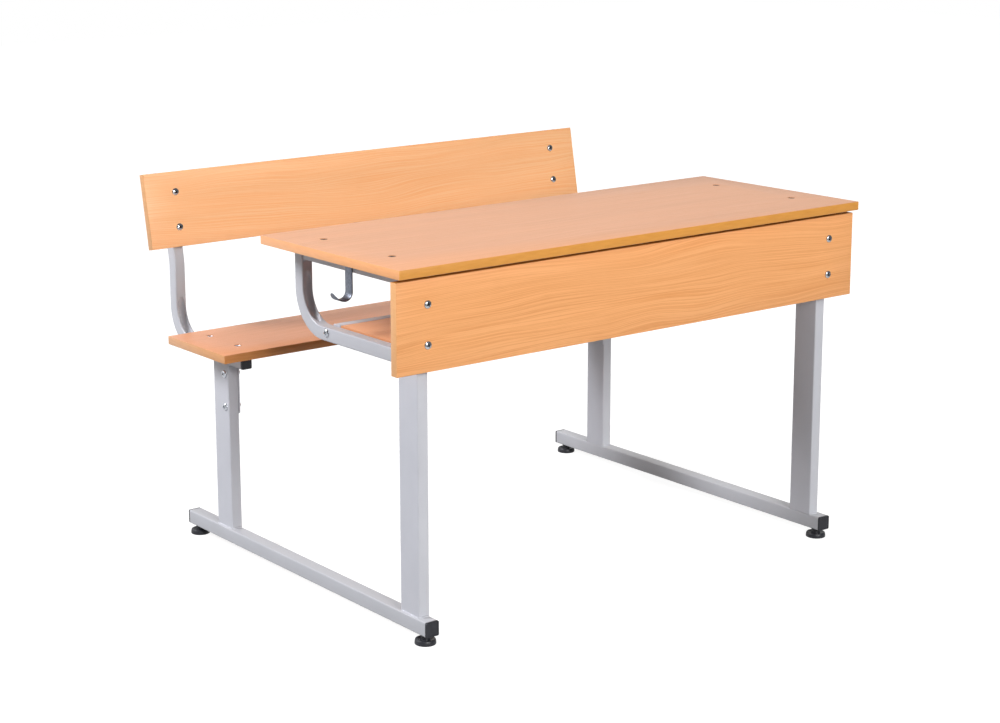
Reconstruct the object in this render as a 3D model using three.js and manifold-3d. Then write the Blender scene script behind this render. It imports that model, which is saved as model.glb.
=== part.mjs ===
// Two-seat school desk with its bench: five laminated boards on two welded steel tube frames.
// Millimetres, +Z up. X runs along the boards, Y from the modesty panel towards the bench.
// Heights and depths are measured from the floor and from the desktop's front edge.
import * as THREE from 'three';
import { mergeVertices } from 'three/addons/utils/BufferGeometryUtils.js';
import Module from 'manifold-3d';

const wasm = await Module();
wasm.setup();

// Boards
const board_length = 1200;
const board_thickness = 18;
const desktop_depth = 470;
const desk_height = 735;
const panel_height = 176.5;
const panel_end_margin = 2;
const panel_setback = 13.5;
const panel_top_gap = 7.5;
const seat_height = 460;
const seat_depth = 234;
const desk_to_seat = 152;
const backrest_height = 164;
const shelf_clearance = 1;

// Steel tubes
const tube_wall = 1.5;
const tube_corner_radius = 3;
const frame_end_inset = 60.5;
const leg_width = 25;
const leg_depth = 60;
const rear_leg_setback = 89;
const top_rail_height = 30;
const skid_size = 30;
const skid_front_reach = 25;
const skid_rear_reach = 114.5;
const skid_clearance = 20;

// Bent tubes
const bow_depth = 28;
const bow_bend_radius = 80;
const desk_bow_setback = 28.5;
const desk_bow_drop = 182;
const seat_bow_setback = 36.5;
const back_lean = THREE.MathUtils.degToRad(10.5);
const lean_start_rise = 132;
const lean_radius = 90;
const backrest_rise = 26;
const upright_top_margin = 9;
const groove_depth = 13;
const groove_rim = 3.2;
const desk_groove_lead = 34;
const seat_groove_lead = 18;
const groove_end = THREE.MathUtils.degToRad(68);
const groove_onset = 0.6;
const groove_point_share = 0.2;
const groove_spread = 1.4;
const groove_lead_shares = [0, 0.12, 0.4, 0.7];
const groove_width_shares = [-1, -0.62, 0, 0.62, 1];
const groove_depth_shares = [0, 0.8, 1, 0.8, 0];

// Shelf under the desktop
const shelf_rail_size = 25;
const shelf_rail_setback = 16.5;
const shelf_rail_plate = 3;
const shelf_rise = 2.5;
const shelf_tab_width = 25;
const shelf_tab_reach = 24;
const shelf_tab_thickness = 3;
const shelf_tab_shares = [0.34, 0.78];

// Seat bracket and bag hook
const bracket_width = 30;
const bracket_thickness = 3;
const bracket_height = 138;
const bracket_bolt_shares = [0.362, 0.884];
const hook_width = 23;
const hook_thickness = 2.5;
const hook_rail_share = 0.486;
const hook_weld_height = 24;
const hook_drop = 37;
const hook_bend_radius = 16;
const hook_tip_radius = 25;
const hook_tip_angle = THREE.MathUtils.degToRad(72);
const hook_rivet_radius = 4;
const hook_rivet_height = 2.2;

// Levelling feet and plastic plugs
const foot_inset = 19.5;
const pad_radius = 21;
const pad_rim_height = 10.5;
const pad_shoulder_height = 14.5;
const pad_hub_radius = 9;
const pad_edge = 1.5;
const pad_floor = 5;
const stud_radius = 5;
const stud_height = 40;
const stud_collar_radius = 7.5;
const stud_collar_height = 3;
const foot_nut_radius = 9.8;
const foot_nut_height = 8;
const plug_flange = 4.5;
const plug_spigot = 9;
const plug_edge = 1;

// Screws and bolts
const screw_radius = 3;
const screw_length = 30;
const pan_head_radius = 8;
const pan_head_height = 4.2;
const flat_head_radius = 8;
const flat_head_height = 4.6;
const flat_head_sink = 0.4;
const bolt_radius = 4;
const bolt_head_radius = 8.4;
const bolt_head_height = 4.4;
const bolt_nut_radius = 7.5;
const bolt_nut_height = 6.5;
const bolt_end = 1.5;
const head_crown_share = 0.8;
const head_edge_share = 0.7;
const rail_bolt_length = 42;
const desktop_screw_shares = [0.264, 0.751];
const panel_screw_shares = [0.272, 0.708];
const seat_screw_shares = [0.278, 0.765];
const backrest_screw_shares = [0.26, 0.73];

// Clearances, and the smallest length that counts as one point
const hole_clearance = 0.3;
const running_clearance = 0.1;
const seat_gap = 0.3;
const overrun = 2;
const merge_distance = 0.001;

// Numbers of flats and steps that stand for round shapes
const corner_steps = 1;
const nut_sides = 6;
const screw_sides = 8;
const foot_sides = 20;
const bend_steps = 12;
const lean_steps = 3;
const hook_steps = 6;

// Places that follow from the sizes above
const desk_underside = desk_height - board_thickness;
const seat_underside = seat_height - board_thickness;
const half_length = board_length / 2;
const frame_outer_x = half_length - frame_end_inset;
const frame_inner_x = frame_outer_x - leg_width;
const frame_x = frame_outer_x - leg_width / 2;
const panel_back_y = panel_setback + board_thickness;
const panel_top_z = desk_underside - panel_top_gap;
const front_leg_back_y = panel_back_y + leg_depth;
const seat_front_y = desktop_depth + desk_to_seat;
const seat_back_y = seat_front_y + seat_depth;
const rear_leg_y = seat_front_y + rear_leg_setback;
const skid_x = frame_inner_x + skid_size / 2;
const skid_z = skid_clearance + skid_size / 2;
const skid_top = skid_clearance + skid_size;
const skid_front_y = panel_back_y - skid_front_reach;
const skid_rear_y = rear_leg_y + leg_depth + skid_rear_reach;
const foot_y = [skid_front_y + foot_inset, skid_rear_y - foot_inset];
const desk_bow_back_y = desktop_depth - desk_bow_setback;
const desk_bow_front_y = desk_bow_back_y - bow_depth;
const desk_bow_base_z = desk_underside - desk_bow_drop;
const desk_bow_run_z = desk_bow_base_z + bow_depth / 2;
const desk_bend_y = desk_bow_back_y - bow_depth / 2 - bow_bend_radius;
const seat_bow_front_y = seat_front_y + seat_bow_setback;
const seat_bow_base_z = seat_underside - bow_depth;
const seat_bow_run_z = seat_bow_base_z + bow_depth / 2;
const lean_start_z = seat_height + lean_start_rise;
const shelf_top_z = desk_bow_base_z + bow_depth + shelf_rise;
const shelf_underside = shelf_top_z - board_thickness;
const shelf_rail_y = desk_bend_y - shelf_rail_setback;
const shelf_rail_z = shelf_top_z - shelf_rail_size / 2;
const shelf_front_y = panel_back_y + shelf_clearance;
const shelf_back_y = shelf_rail_y - shelf_rail_size / 2;
const bracket_bolt_y = rear_leg_y + bracket_width / 2;

const along = (start, length, shares) => shares.map((share) => start + length * share);
const desktop_screw_y = along(0, desktop_depth, desktop_screw_shares);
const panel_screw_z = along(panel_top_z, -panel_height, panel_screw_shares);
const seat_screw_y = along(seat_front_y, seat_depth, seat_screw_shares);
const bracket_bolt_z = along(seat_underside, -bracket_height, bracket_bolt_shares);
const shelf_tab_y = along(shelf_front_y, shelf_back_y - shelf_front_y, shelf_tab_shares);
const [hook_y] = along(front_leg_back_y, desk_bow_front_y - front_leg_back_y, [hook_rail_share]);

// Finishes
function finish(color, roughness, metalness) {
  return new THREE.MeshStandardMaterial({ color, roughness, metalness });
}
const beech_face = () => finish(0xe9a468, 0.5, 0);
const grey_paint = () => finish(0xc6c7cd, 0.45, 0.1);
const black_plastic = () => finish(0x2e2f33, 0.55, 0);
const bright_zinc = () => finish(0xc9ccd2, 0.3, 0.9);

const desk = new THREE.Group();

// A closed mesh as a solid that can be joined and cut.
function solid_of(geometry) {
  const bare = geometry.clone();
  bare.deleteAttribute('normal');
  bare.deleteAttribute('uv');
  const merged = mergeVertices(bare, merge_distance);
  return new wasm.Manifold(new wasm.Mesh({
    numProp: 3,
    vertProperties: new Float32Array(merged.attributes.position.array),
    triVerts: new Uint32Array(merged.index.array),
  }));
}

function geometry_of(solid) {
  const { vertProperties, triVerts } = solid.getMesh();
  const geometry = new THREE.BufferGeometry();
  geometry.setAttribute('position', new THREE.BufferAttribute(new Float32Array(vertProperties), 3));
  geometry.setIndex(new THREE.BufferAttribute(new Uint32Array(triVerts), 1));
  geometry.computeVertexNormals();
  return geometry;
}

function add_piece(name, solid, material) {
  const mesh = new THREE.Mesh(geometry_of(solid), material);
  mesh.name = name;
  desk.add(mesh);
}

// A box from its low corner to its high corner.
function box(low, high) {
  const size = new THREE.Vector3().subVectors(high, low);
  const geometry = new THREE.BoxGeometry(size.x, size.y, size.z);
  const centre = new THREE.Vector3().addVectors(low, high).multiplyScalar(0.5);
  return solid_of(geometry.translate(centre.x, centre.y, centre.z));
}

function rounded_outline(width, depth, radius, Kind = THREE.Shape) {
  const x = width / 2 - radius;
  const y = depth / 2 - radius;
  const outline = new Kind();
  outline.absarc(x, y, radius, 0, Math.PI / 2, false);
  outline.absarc(-x, y, radius, Math.PI / 2, Math.PI, false);
  outline.absarc(-x, -y, radius, Math.PI, Math.PI * 1.5, false);
  outline.absarc(x, -y, radius, Math.PI * 1.5, Math.PI * 2, false);
  return outline;
}

function bar(outline, length) {
  return new THREE.ExtrudeGeometry(outline, {
    depth: length, steps: 1, bevelEnabled: false, curveSegments: corner_steps,
  });
}

// A hollow tube along +Z, its axis on the Z axis.
function tube(width, depth, length) {
  const outline = rounded_outline(width, depth, tube_corner_radius);
  const bore = rounded_outline(
    width - 2 * tube_wall, depth - 2 * tube_wall, tube_corner_radius - tube_wall, THREE.Path,
  );
  outline.holes.push(bore);
  return bar(outline, length);
}

// Turns a shape that points along +Z so that it points along another axis.
const point_along = {
  '+Z': (geometry) => geometry,
  '-Z': (geometry) => geometry.rotateX(Math.PI),
  '+Y': (geometry) => geometry.rotateX(-Math.PI / 2),
  '-Y': (geometry) => geometry.rotateX(Math.PI / 2),
  '+X': (geometry) => geometry.rotateY(Math.PI / 2),
  '-X': (geometry) => geometry.rotateY(-Math.PI / 2),
};

function place(geometry, axis, x, y, z) {
  return solid_of(point_along[axis](geometry).translate(x, y, z));
}

// A shape of revolution about +Z, from points of radius and height that start and end on the axis.
function turned(points, sides) {
  const profile = points.map(([radius, height]) => new THREE.Vector2(radius, height));
  return new THREE.LatheGeometry(profile, sides).rotateX(Math.PI / 2);
}

function cylinder(radius, low, high, sides) {
  return turned([[0, low], [radius, low], [radius, high], [0, high]], sides);
}

// Screws stand on their head's seat at height 0 and point down.
function pan_screw(length) {
  return turned([
    [0, -length], [screw_radius, screw_radius - length], [screw_radius, 0],
    [pan_head_radius, 0], [pan_head_radius * head_crown_share, pan_head_height * head_edge_share],
    [0, pan_head_height],
  ], screw_sides);
}

function flat_screw(length) {
  return turned([
    [0, -length], [screw_radius, screw_radius - length], [screw_radius, -flat_head_height],
    [flat_head_radius, 0], [0, 0],
  ], screw_sides);
}

function flat_screw_hole() {
  return turned([
    [0, -screw_length - overrun], [screw_radius + hole_clearance, -screw_length - overrun],
    [screw_radius + hole_clearance, -flat_head_height],
    [flat_head_radius + hole_clearance, 0],
    [flat_head_radius + hole_clearance, flat_head_sink + overrun], [0, flat_head_sink + overrun],
  ], screw_sides);
}

function screw_hole() {
  return cylinder(screw_radius + hole_clearance, -screw_length - overrun, overrun, screw_sides);
}

function bolt_hole(length) {
  return cylinder(bolt_radius + hole_clearance, -length, overrun, screw_sides);
}

// A stack of rings of points, skinned into one closed solid; the rings run round the same way.
function loft(rings) {
  const count = rings[0].length;
  const positions = [];
  const index = [];
  rings.forEach((ring) => ring.forEach((point) => positions.push(point.x, point.y, point.z)));
  for (let row = 0; row + 1 < rings.length; row += 1) {
    for (let i = 0; i < count; i += 1) {
      const next = (i + 1) % count;
      const a = row * count + i;
      const b = row * count + next;
      index.push(a, b, b + count, a, b + count, a + count);
    }
  }
  const cap = (row, faces_back) => {
    const outline = rings[row].map((point) => point.section);
    const turn = faces_back !== THREE.ShapeUtils.isClockWise(outline);
    for (const [a, b, c] of THREE.ShapeUtils.triangulateShape(outline, [])) {
      const corners = turn ? [c, b, a] : [a, b, c];
      corners.forEach((corner) => index.push(row * count + corner));
    }
  };
  cap(0, true);
  cap(rings.length - 1, false);
  const geometry = new THREE.BufferGeometry();
  geometry.setAttribute('position', new THREE.Float32BufferAttribute(positions, 3));
  geometry.setIndex(index);
  return solid_of(geometry);
}

// Stations along a bent tube's centre line, in the plane of the frame: a place, the direction of
// travel as an angle down from vertical, and how far the groove is pressed in there, 0 to 1.
function station(y, z, angle, press) {
  return { y, z, angle, press };
}

// The groove starts as a point, deepens quickly and runs out again.
function press_at(share) {
  return share <= 0 || share >= 1 ? 0 : Math.sin(Math.PI * share) ** groove_onset;
}

// The tube's section: u across the frame, v away from the inside of the bend.
function tube_section(width, depth, radius, press) {
  const rounded = rounded_outline(width, depth, radius).getPoints(corner_steps);
  const points = rounded.filter((p, i) => i === 0 || p.distanceTo(rounded[i - 1]) > merge_distance);
  const lowest = points.findIndex((p) => p.y <= -depth / 2 + merge_distance);
  const opening = groove_point_share + (1 - groove_point_share) * Math.min(1, press * groove_spread);
  const half = (width / 2 - groove_rim) * opening;
  const groove = groove_width_shares.map((share, i) => new THREE.Vector2(
    share * half, -depth / 2 + groove_depth * press * groove_depth_shares[i],
  ));
  points.splice(lowest + 1, 0, ...groove);
  return points;
}

function bore_section(press) {
  const u = leg_width / 2 - tube_wall;
  const v = bow_depth / 2 - tube_wall;
  const inner = -v + groove_depth * press;
  return [[u, inner], [u, v], [-u, v], [-u, inner]].map(([x, y]) => new THREE.Vector2(x, y));
}

// Sets a section across the path at a station.
function ring_at({ y, z, angle }, section, x) {
  const outward = [Math.cos(angle), -Math.sin(angle)];
  return section.map((p) => {
    const point = new THREE.Vector3(x - p.x, y + p.y * outward[0], z + p.y * outward[1]);
    point.section = p;
    return point;
  });
}

// A bent tube whose inner wall is pressed into a groove at its bend.
function bent_tube(stations, x) {
  const outside = stations.map((s) => ring_at(
    s, tube_section(leg_width, bow_depth, tube_corner_radius, s.press), x,
  ));
  const first = stations[0];
  const last = stations[stations.length - 1];
  const run_on = (s, length) => station(
    s.y - length * Math.sin(s.angle), s.z - length * Math.cos(s.angle), s.angle, 0,
  );
  const bored = [run_on(first, -overrun), ...stations, run_on(last, overrun)];
  const inside = bored.map((s) => ring_at(s, bore_section(s.press), x));
  return loft(outside).subtract(loft(inside));
}

// A groove's leading stations on the straight above the bend, then the bend's own stations.
function bend_stations(centre_y, centre_z, lead) {
  const bend_length = bow_bend_radius * groove_end;
  const total = lead + bend_length;
  const list = [];
  for (const share of groove_lead_shares) {
    const height = centre_z + lead * (1 - share);
    list.push(station(centre_y + bow_bend_radius, height, 0, press_at(share * lead / total)));
  }
  for (let i = 0; i <= bend_steps; i += 1) {
    const angle = (Math.PI / 2) * (i / bend_steps);
    const travelled = lead + bow_bend_radius * angle;
    list.push(station(
      centre_y + bow_bend_radius * Math.cos(angle), centre_z - bow_bend_radius * Math.sin(angle),
      angle, press_at(travelled / total),
    ));
  }
  return list;
}

// Boards
function add_board(name, low, high, holes) {
  let board = box(low, high);
  holes.forEach((hole) => { board = board.subtract(hole); });
  add_piece(name, board, beech_face());
}

function at_both_frames(list, make) {
  return [-1, 1].flatMap((side) => list.map((value) => make(side * frame_x, value)));
}

function sunk_hole(x, y, surface) {
  return place(flat_screw_hole(), '+Z', x, y, surface - flat_head_sink);
}

add_board(
  'desktop',
  new THREE.Vector3(-half_length, 0, desk_underside),
  new THREE.Vector3(half_length, desktop_depth, desk_height),
  at_both_frames(desktop_screw_y, (x, y) => sunk_hole(x, y, desk_height)),
);

const panel_half_length = half_length - panel_end_margin;
add_board(
  'modesty_panel',
  new THREE.Vector3(-panel_half_length, panel_setback, panel_top_z - panel_height),
  new THREE.Vector3(panel_half_length, panel_back_y, panel_top_z),
  at_both_frames(panel_screw_z, (x, z) => place(screw_hole(), '-Y', x, panel_setback, z)),
);

add_board(
  'seat_board',
  new THREE.Vector3(-half_length, seat_front_y, seat_underside),
  new THREE.Vector3(half_length, seat_back_y, seat_height),
  at_both_frames(seat_screw_y, (x, y) => sunk_hole(x, y, seat_height)),
);

const shelf_half_length = frame_inner_x - shelf_clearance;
add_board(
  'book_shelf',
  new THREE.Vector3(-shelf_half_length, shelf_front_y, shelf_underside),
  new THREE.Vector3(shelf_half_length, shelf_back_y, shelf_top_z),
  [],
);

// The leaning stretch of the bench's uprights: places are given along it and away from its front face.
const upright_y = seat_back_y + bow_bend_radius;
const lean_bend_y = upright_y + lean_radius * (1 - Math.cos(back_lean));
const lean_bend_z = lean_start_z + lean_radius * Math.sin(back_lean);

function on_lean(x, ahead, up) {
  const out = ahead + bow_depth / 2;
  return new THREE.Vector3(
    x,
    lean_bend_y + up * Math.sin(back_lean) - out * Math.cos(back_lean),
    lean_bend_z + up * Math.cos(back_lean) + out * Math.sin(back_lean),
  );
}

// Moves a shape made upright at the origin, its back at Y 0, to the front of the leaning uprights.
function lean_back(geometry, x, ahead, up) {
  const { y, z } = on_lean(x, ahead, up);
  return solid_of(geometry.rotateX(-back_lean).translate(x, y, z));
}

const backrest_screw_ups = backrest_screw_shares.map((share) => backrest_rise + share * backrest_height);
const backrest_blank = new THREE.BoxGeometry(board_length, board_thickness, backrest_height)
  .translate(0, -board_thickness / 2, backrest_height / 2);
const backrest_holes = at_both_frames(backrest_screw_ups, (x, up) => lean_back(
  point_along['-Y'](screw_hole()), x, seat_gap + board_thickness, up,
));
add_piece(
  'backrest_board',
  backrest_holes.reduce(
    (board, hole) => board.subtract(hole),
    lean_back(backrest_blank, 0, seat_gap, backrest_rise),
  ),
  beech_face(),
);

// Rail along the shelf's rear edge, closed by end plates that take a bolt from each frame
let shelf_rail = place(
  tube(shelf_rail_size, shelf_rail_size, 2 * frame_inner_x), '+X',
  -frame_inner_x, shelf_rail_y, shelf_rail_z,
);
for (const side of [-1, 1]) {
  const plate = bar(
    rounded_outline(
      shelf_rail_size - tube_wall, shelf_rail_size - tube_wall, tube_corner_radius - tube_wall / 2,
    ),
    shelf_rail_plate,
  );
  const direction = side < 0 ? '+X' : '-X';
  const rail_end = side * frame_inner_x;
  shelf_rail = shelf_rail.add(place(plate, direction, rail_end, shelf_rail_y, shelf_rail_z));
  shelf_rail = shelf_rail.subtract(place(
    bolt_hole(rail_bolt_length), side < 0 ? '-X' : '+X', rail_end, shelf_rail_y, shelf_rail_z,
  ));
}
add_piece('shelf_rail', shelf_rail, grey_paint());

// The two frames
// A tube plug: its flange lies on the tube's end at height 0, its spigot below.
function plug(width, depth) {
  const crown_start = plug_flange - plug_edge;
  const crown_inset = 2 * plug_edge;
  const spigot_inset = 2 * (tube_wall + hole_clearance);
  const flange = bar(rounded_outline(width, depth, tube_corner_radius), crown_start);
  const crown = bar(
    rounded_outline(width - crown_inset, depth - crown_inset, tube_corner_radius - plug_edge), plug_edge,
  ).translate(0, 0, crown_start);
  const spigot = bar(
    rounded_outline(width - spigot_inset, depth - spigot_inset, tube_corner_radius - tube_wall),
    plug_spigot,
  ).translate(0, 0, -plug_spigot);
  return geometry_of(solid_of(flange).add(solid_of(crown)).add(solid_of(spigot)));
}

function drilled(solid, holes) {
  return holes.reduce((rest, hole) => rest.subtract(hole), solid);
}

function add_frame(side, name) {
  const x = side * frame_x;
  const outward = side < 0 ? '-X' : '+X';
  const inner_face = side * frame_inner_x;
  const outer_face = side * frame_outer_x;

  // Skid with a nut welded over each foot
  const skid_length = skid_rear_y - skid_front_y;
  let skid = place(
    tube(skid_size, skid_size, skid_length), '+Y', side * skid_x, skid_front_y, skid_z,
  );
  const nut_seat = skid_clearance + tube_wall / 2;
  foot_y.forEach((y) => {
    const nut_top = skid_clearance + tube_wall + foot_nut_height;
    const nut = cylinder(foot_nut_radius, nut_seat, nut_top, nut_sides);
    skid = skid.add(place(nut, '+Z', side * skid_x, y, 0));
    const bore = cylinder(stud_radius + running_clearance, 0, nut_top + overrun, foot_sides);
    skid = skid.subtract(place(bore, '+Z', side * skid_x, y, 0));
  });
  add_piece(`${name}_skid`, skid, grey_paint());
  add_piece(`${name}_skid_front_plug`, place(
    plug(skid_size, skid_size), '-Y', side * skid_x, skid_front_y, skid_z,
  ), black_plastic());
  add_piece(`${name}_skid_rear_plug`, place(
    plug(skid_size, skid_size), '+Y', side * skid_x, skid_rear_y, skid_z,
  ), black_plastic());

  // Legs
  const front_leg = place(
    tube(leg_width, leg_depth, desk_underside - skid_top), '+Z', x, panel_back_y + leg_depth / 2, skid_top,
  );
  add_piece(`${name}_front_leg`, drilled(
    front_leg, panel_screw_z.map((z) => place(screw_hole(), '-Y', x, panel_setback, z)),
  ), grey_paint());
  const rear_leg = place(
    tube(leg_width, leg_depth, seat_bow_base_z - skid_top), '+Z', x, rear_leg_y + leg_depth / 2, skid_top,
  );
  const through = leg_width + bracket_thickness + overrun;
  const bracket_holes = bracket_bolt_z.map(
    (z) => place(bolt_hole(through), outward, outer_face, bracket_bolt_y, z),
  );
  add_piece(`${name}_rear_leg`, drilled(rear_leg, bracket_holes), grey_paint());

  // Rail under the desktop
  const top_rail = place(
    tube(leg_width, top_rail_height, desk_bow_front_y - front_leg_back_y), '+Y',
    x, front_leg_back_y, desk_underside - top_rail_height / 2,
  );
  const rail_holes = desktop_screw_y.map((y) => sunk_hole(x, y, desk_height));
  add_piece(`${name}_top_rail`, drilled(top_rail, rail_holes), grey_paint());

  // Bow round the book space, with tabs that carry the shelf
  const desk_bends = bend_stations(desk_bend_y, desk_bow_run_z + bow_bend_radius, desk_groove_lead);
  let desk_bow = bent_tube([
    station(desk_bends[0].y, desk_underside, 0, 0),
    ...desk_bends,
    station(front_leg_back_y, desk_bow_run_z, Math.PI / 2, 0),
  ], x);
  shelf_tab_y.forEach((y) => {
    const ends = [inner_face + side * tube_wall / 2, inner_face - side * shelf_tab_reach];
    desk_bow = desk_bow.add(box(
      new THREE.Vector3(
        Math.min(...ends), y - shelf_tab_width / 2, shelf_underside - shelf_tab_thickness,
      ),
      new THREE.Vector3(Math.max(...ends), y + shelf_tab_width / 2, shelf_underside),
    ));
  });
  const rail_bolt_hole = place(
    bolt_hole(rail_bolt_length), outward, outer_face, shelf_rail_y, shelf_rail_z,
  );
  add_piece(`${name}_desk_bow`, desk_bow.subtract(rail_bolt_hole), grey_paint());

  // Bow under the seat and up behind the backrest
  const upright_length = backrest_rise + backrest_height - upright_top_margin;
  const leaning = [];
  for (let i = 0; i <= lean_steps; i += 1) {
    const angle = back_lean * (1 - i / lean_steps);
    leaning.push(station(
      upright_y + lean_radius * (1 - Math.cos(angle)), lean_start_z + lean_radius * Math.sin(angle),
      angle, 0,
    ));
  }
  const upright_end = on_lean(x, -bow_depth / 2, upright_length);
  const seat_bow = bent_tube([
    station(upright_end.y, upright_end.z, back_lean, 0),
    ...leaning,
    ...bend_stations(seat_back_y, seat_bow_run_z + bow_bend_radius, seat_groove_lead),
    station(seat_bow_front_y, seat_bow_run_z, Math.PI / 2, 0),
  ], x);
  const seat_holes = seat_screw_y.map((y) => sunk_hole(x, y, seat_height));
  const back_holes = backrest_screw_ups.map(
    (up) => lean_back(point_along['-Y'](screw_hole()), x, seat_gap + board_thickness, up),
  );
  add_piece(`${name}_seat_bow`, drilled(seat_bow, [...seat_holes, ...back_holes]), grey_paint());
  add_piece(`${name}_seat_bow_front_plug`, place(
    plug(leg_width, bow_depth), '-Y', x, seat_bow_front_y, seat_bow_run_z,
  ), black_plastic());
  add_piece(`${name}_seat_bow_top_plug`, lean_back(
    plug(leg_width, bow_depth), x, -bow_depth / 2, upright_length + seat_gap,
  ), black_plastic());

  // Plate on the bow's inner side, bolted to the leg
  const bracket_x = [inner_face, inner_face - side * bracket_thickness];
  const bracket = box(
    new THREE.Vector3(Math.min(...bracket_x), rear_leg_y, seat_underside - bracket_height),
    new THREE.Vector3(Math.max(...bracket_x), rear_leg_y + bracket_width, seat_underside),
  );
  add_piece(`${name}_seat_bracket`, drilled(bracket, bracket_holes), grey_paint());

  // Bag hook: a strip down the rail's outer side that curls outwards
  const strip_x = outer_face + side * hook_thickness / 2;
  const hook_top = desk_underside - top_rail_height + hook_weld_height;
  const bend_z = desk_underside - top_rail_height - hook_drop;
  const hook_path = [[strip_x, hook_top, 0], [strip_x, bend_z, 0]];
  const curl = (centre_x, centre_z, radius, from, to) => {
    for (let i = 1; i <= hook_steps; i += 1) {
      const angle = from + (to - from) * (i / hook_steps);
      hook_path.push([
        centre_x - side * radius * Math.cos(angle), centre_z - radius * Math.sin(angle), angle,
      ]);
    }
  };
  const curl_x = strip_x + side * hook_bend_radius;
  curl(curl_x, bend_z, hook_bend_radius, 0, Math.PI / 2);
  const tip_z = bend_z - hook_bend_radius + hook_tip_radius;
  curl(curl_x, tip_z, hook_tip_radius, Math.PI / 2, Math.PI / 2 + hook_tip_angle);
  const hook_rings = hook_path.map(([px, pz, angle]) => {
    const corners = [[-1, -1], [1, -1], [1, 1], [-1, 1]];
    const ring = corners.map(([a, b]) => {
      const across = a * hook_width / 2;
      const off = b * hook_thickness / 2;
      const point = new THREE.Vector3(
        px - side * off * Math.cos(angle), hook_y + across, pz - off * Math.sin(angle),
      );
      point.section = new THREE.Vector2(across, off);
      return point;
    });
    return side < 0 ? ring : ring.reverse();
  });
  const rivet = cylinder(
    hook_rivet_radius, hook_thickness / 2, hook_thickness + hook_rivet_height, screw_sides,
  );
  const rivet_z = desk_underside - top_rail_height / 2;
  const hook = loft(hook_rings).add(place(rivet, outward, outer_face, hook_y, rivet_z));
  add_piece(`${name}_bag_hook`, hook, bright_zinc());

  // Levelling feet: a pad that swivels on a stud
  foot_y.forEach((y, i) => {
    const end = i === 0 ? 'front' : 'rear';
    const pad_top = skid_clearance - seat_gap;
    const neck = stud_radius + running_clearance;
    const pocket = stud_collar_radius + running_clearance;
    const pocket_top = pad_floor + stud_collar_height + 2 * running_clearance;
    const pad = turned([
      [0, 0], [pad_radius - pad_edge, 0], [pad_radius, pad_edge], [pad_radius, pad_rim_height - pad_edge],
      [pad_radius - pad_edge, pad_rim_height], [pad_hub_radius, pad_shoulder_height],
      [pad_hub_radius, pad_top], [neck, pad_top], [neck, pocket_top], [pocket, pocket_top],
      [pocket, pad_floor], [0, pad_floor],
    ], foot_sides);
    add_piece(`${name}_${end}_foot_pad`, place(pad, '+Z', side * skid_x, y, 0), black_plastic());
    const collar_base = pad_floor + running_clearance;
    const stud = turned([
      [0, collar_base], [stud_collar_radius, collar_base],
      [stud_collar_radius, collar_base + stud_collar_height],
      [stud_radius, collar_base + stud_collar_height],
      [stud_radius, collar_base + stud_height], [0, collar_base + stud_height],
    ], foot_sides);
    add_piece(`${name}_${end}_foot_stud`, place(stud, '+Z', side * skid_x, y, 0), bright_zinc());
  });

  // Screws through the boards
  const ends = ['front', 'rear'];
  const levels = ['upper', 'lower'];
  const sunk_screw = (y, surface) => place(
    flat_screw(screw_length), '+Z', x, y, surface - flat_head_sink,
  );
  desktop_screw_y.forEach((y, i) => add_piece(
    `${name}_desktop_screw_${ends[i]}`, sunk_screw(y, desk_height), bright_zinc(),
  ));
  seat_screw_y.forEach((y, i) => add_piece(
    `${name}_seat_screw_${ends[i]}`, sunk_screw(y, seat_height), bright_zinc(),
  ));
  panel_screw_z.forEach((z, i) => add_piece(
    `${name}_panel_screw_${levels[i]}`,
    place(pan_screw(screw_length), '-Y', x, panel_setback, z), bright_zinc(),
  ));
  backrest_screw_ups.forEach((up, i) => add_piece(
    `${name}_backrest_screw_${levels[1 - i]}`,
    lean_back(point_along['-Y'](pan_screw(screw_length)), x, seat_gap + board_thickness, up),
    bright_zinc(),
  ));

  // Bolts through the tubes
  const bolt = (length) => turned([
    [0, -length], [bolt_radius, -length], [bolt_radius, 0], [bolt_head_radius, 0],
    [bolt_head_radius * head_crown_share, bolt_head_height * head_edge_share], [0, bolt_head_height],
  ], screw_sides);
  bracket_bolt_z.forEach((z, i) => {
    const grip = leg_width + bracket_thickness;
    const nut = cylinder(bolt_nut_radius, -grip - bolt_nut_height, -grip, nut_sides);
    const whole_length = grip + bolt_nut_height + bolt_end;
    const whole = place(bolt(whole_length), outward, outer_face, bracket_bolt_y, z)
      .add(place(nut, outward, outer_face, bracket_bolt_y, z));
    add_piece(`${name}_bracket_bolt_${levels[i]}`, whole, bright_zinc());
  });
  add_piece(
    `${name}_shelf_rail_bolt`,
    place(bolt(rail_bolt_length - overrun), outward, outer_face, shelf_rail_y, shelf_rail_z),
    bright_zinc(),
  );
}

add_frame(-1, 'left');
add_frame(1, 'right');

// The origin lies on the floor, under the middle of the whole desk.
desk.updateMatrixWorld(true);
const extent = new THREE.Box3().setFromObject(desk);
desk.position.y = -(extent.min.y + extent.max.y) / 2;
desk.updateMatrixWorld(true);

export default desk;
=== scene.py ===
# %% [markdown]
# # A two-seat school desk with its bench
# The desk is laminated boards screwed onto two welded frames of rectangular steel tube.
# The measured solids are loaded first. Each visible piece is then modelled over its solid, in
# metres and in the same place, so that nothing has to be fitted afterwards.

# %% Load the measured solids
import math

import bmesh
import bpy
from mathutils import Matrix, Vector


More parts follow.
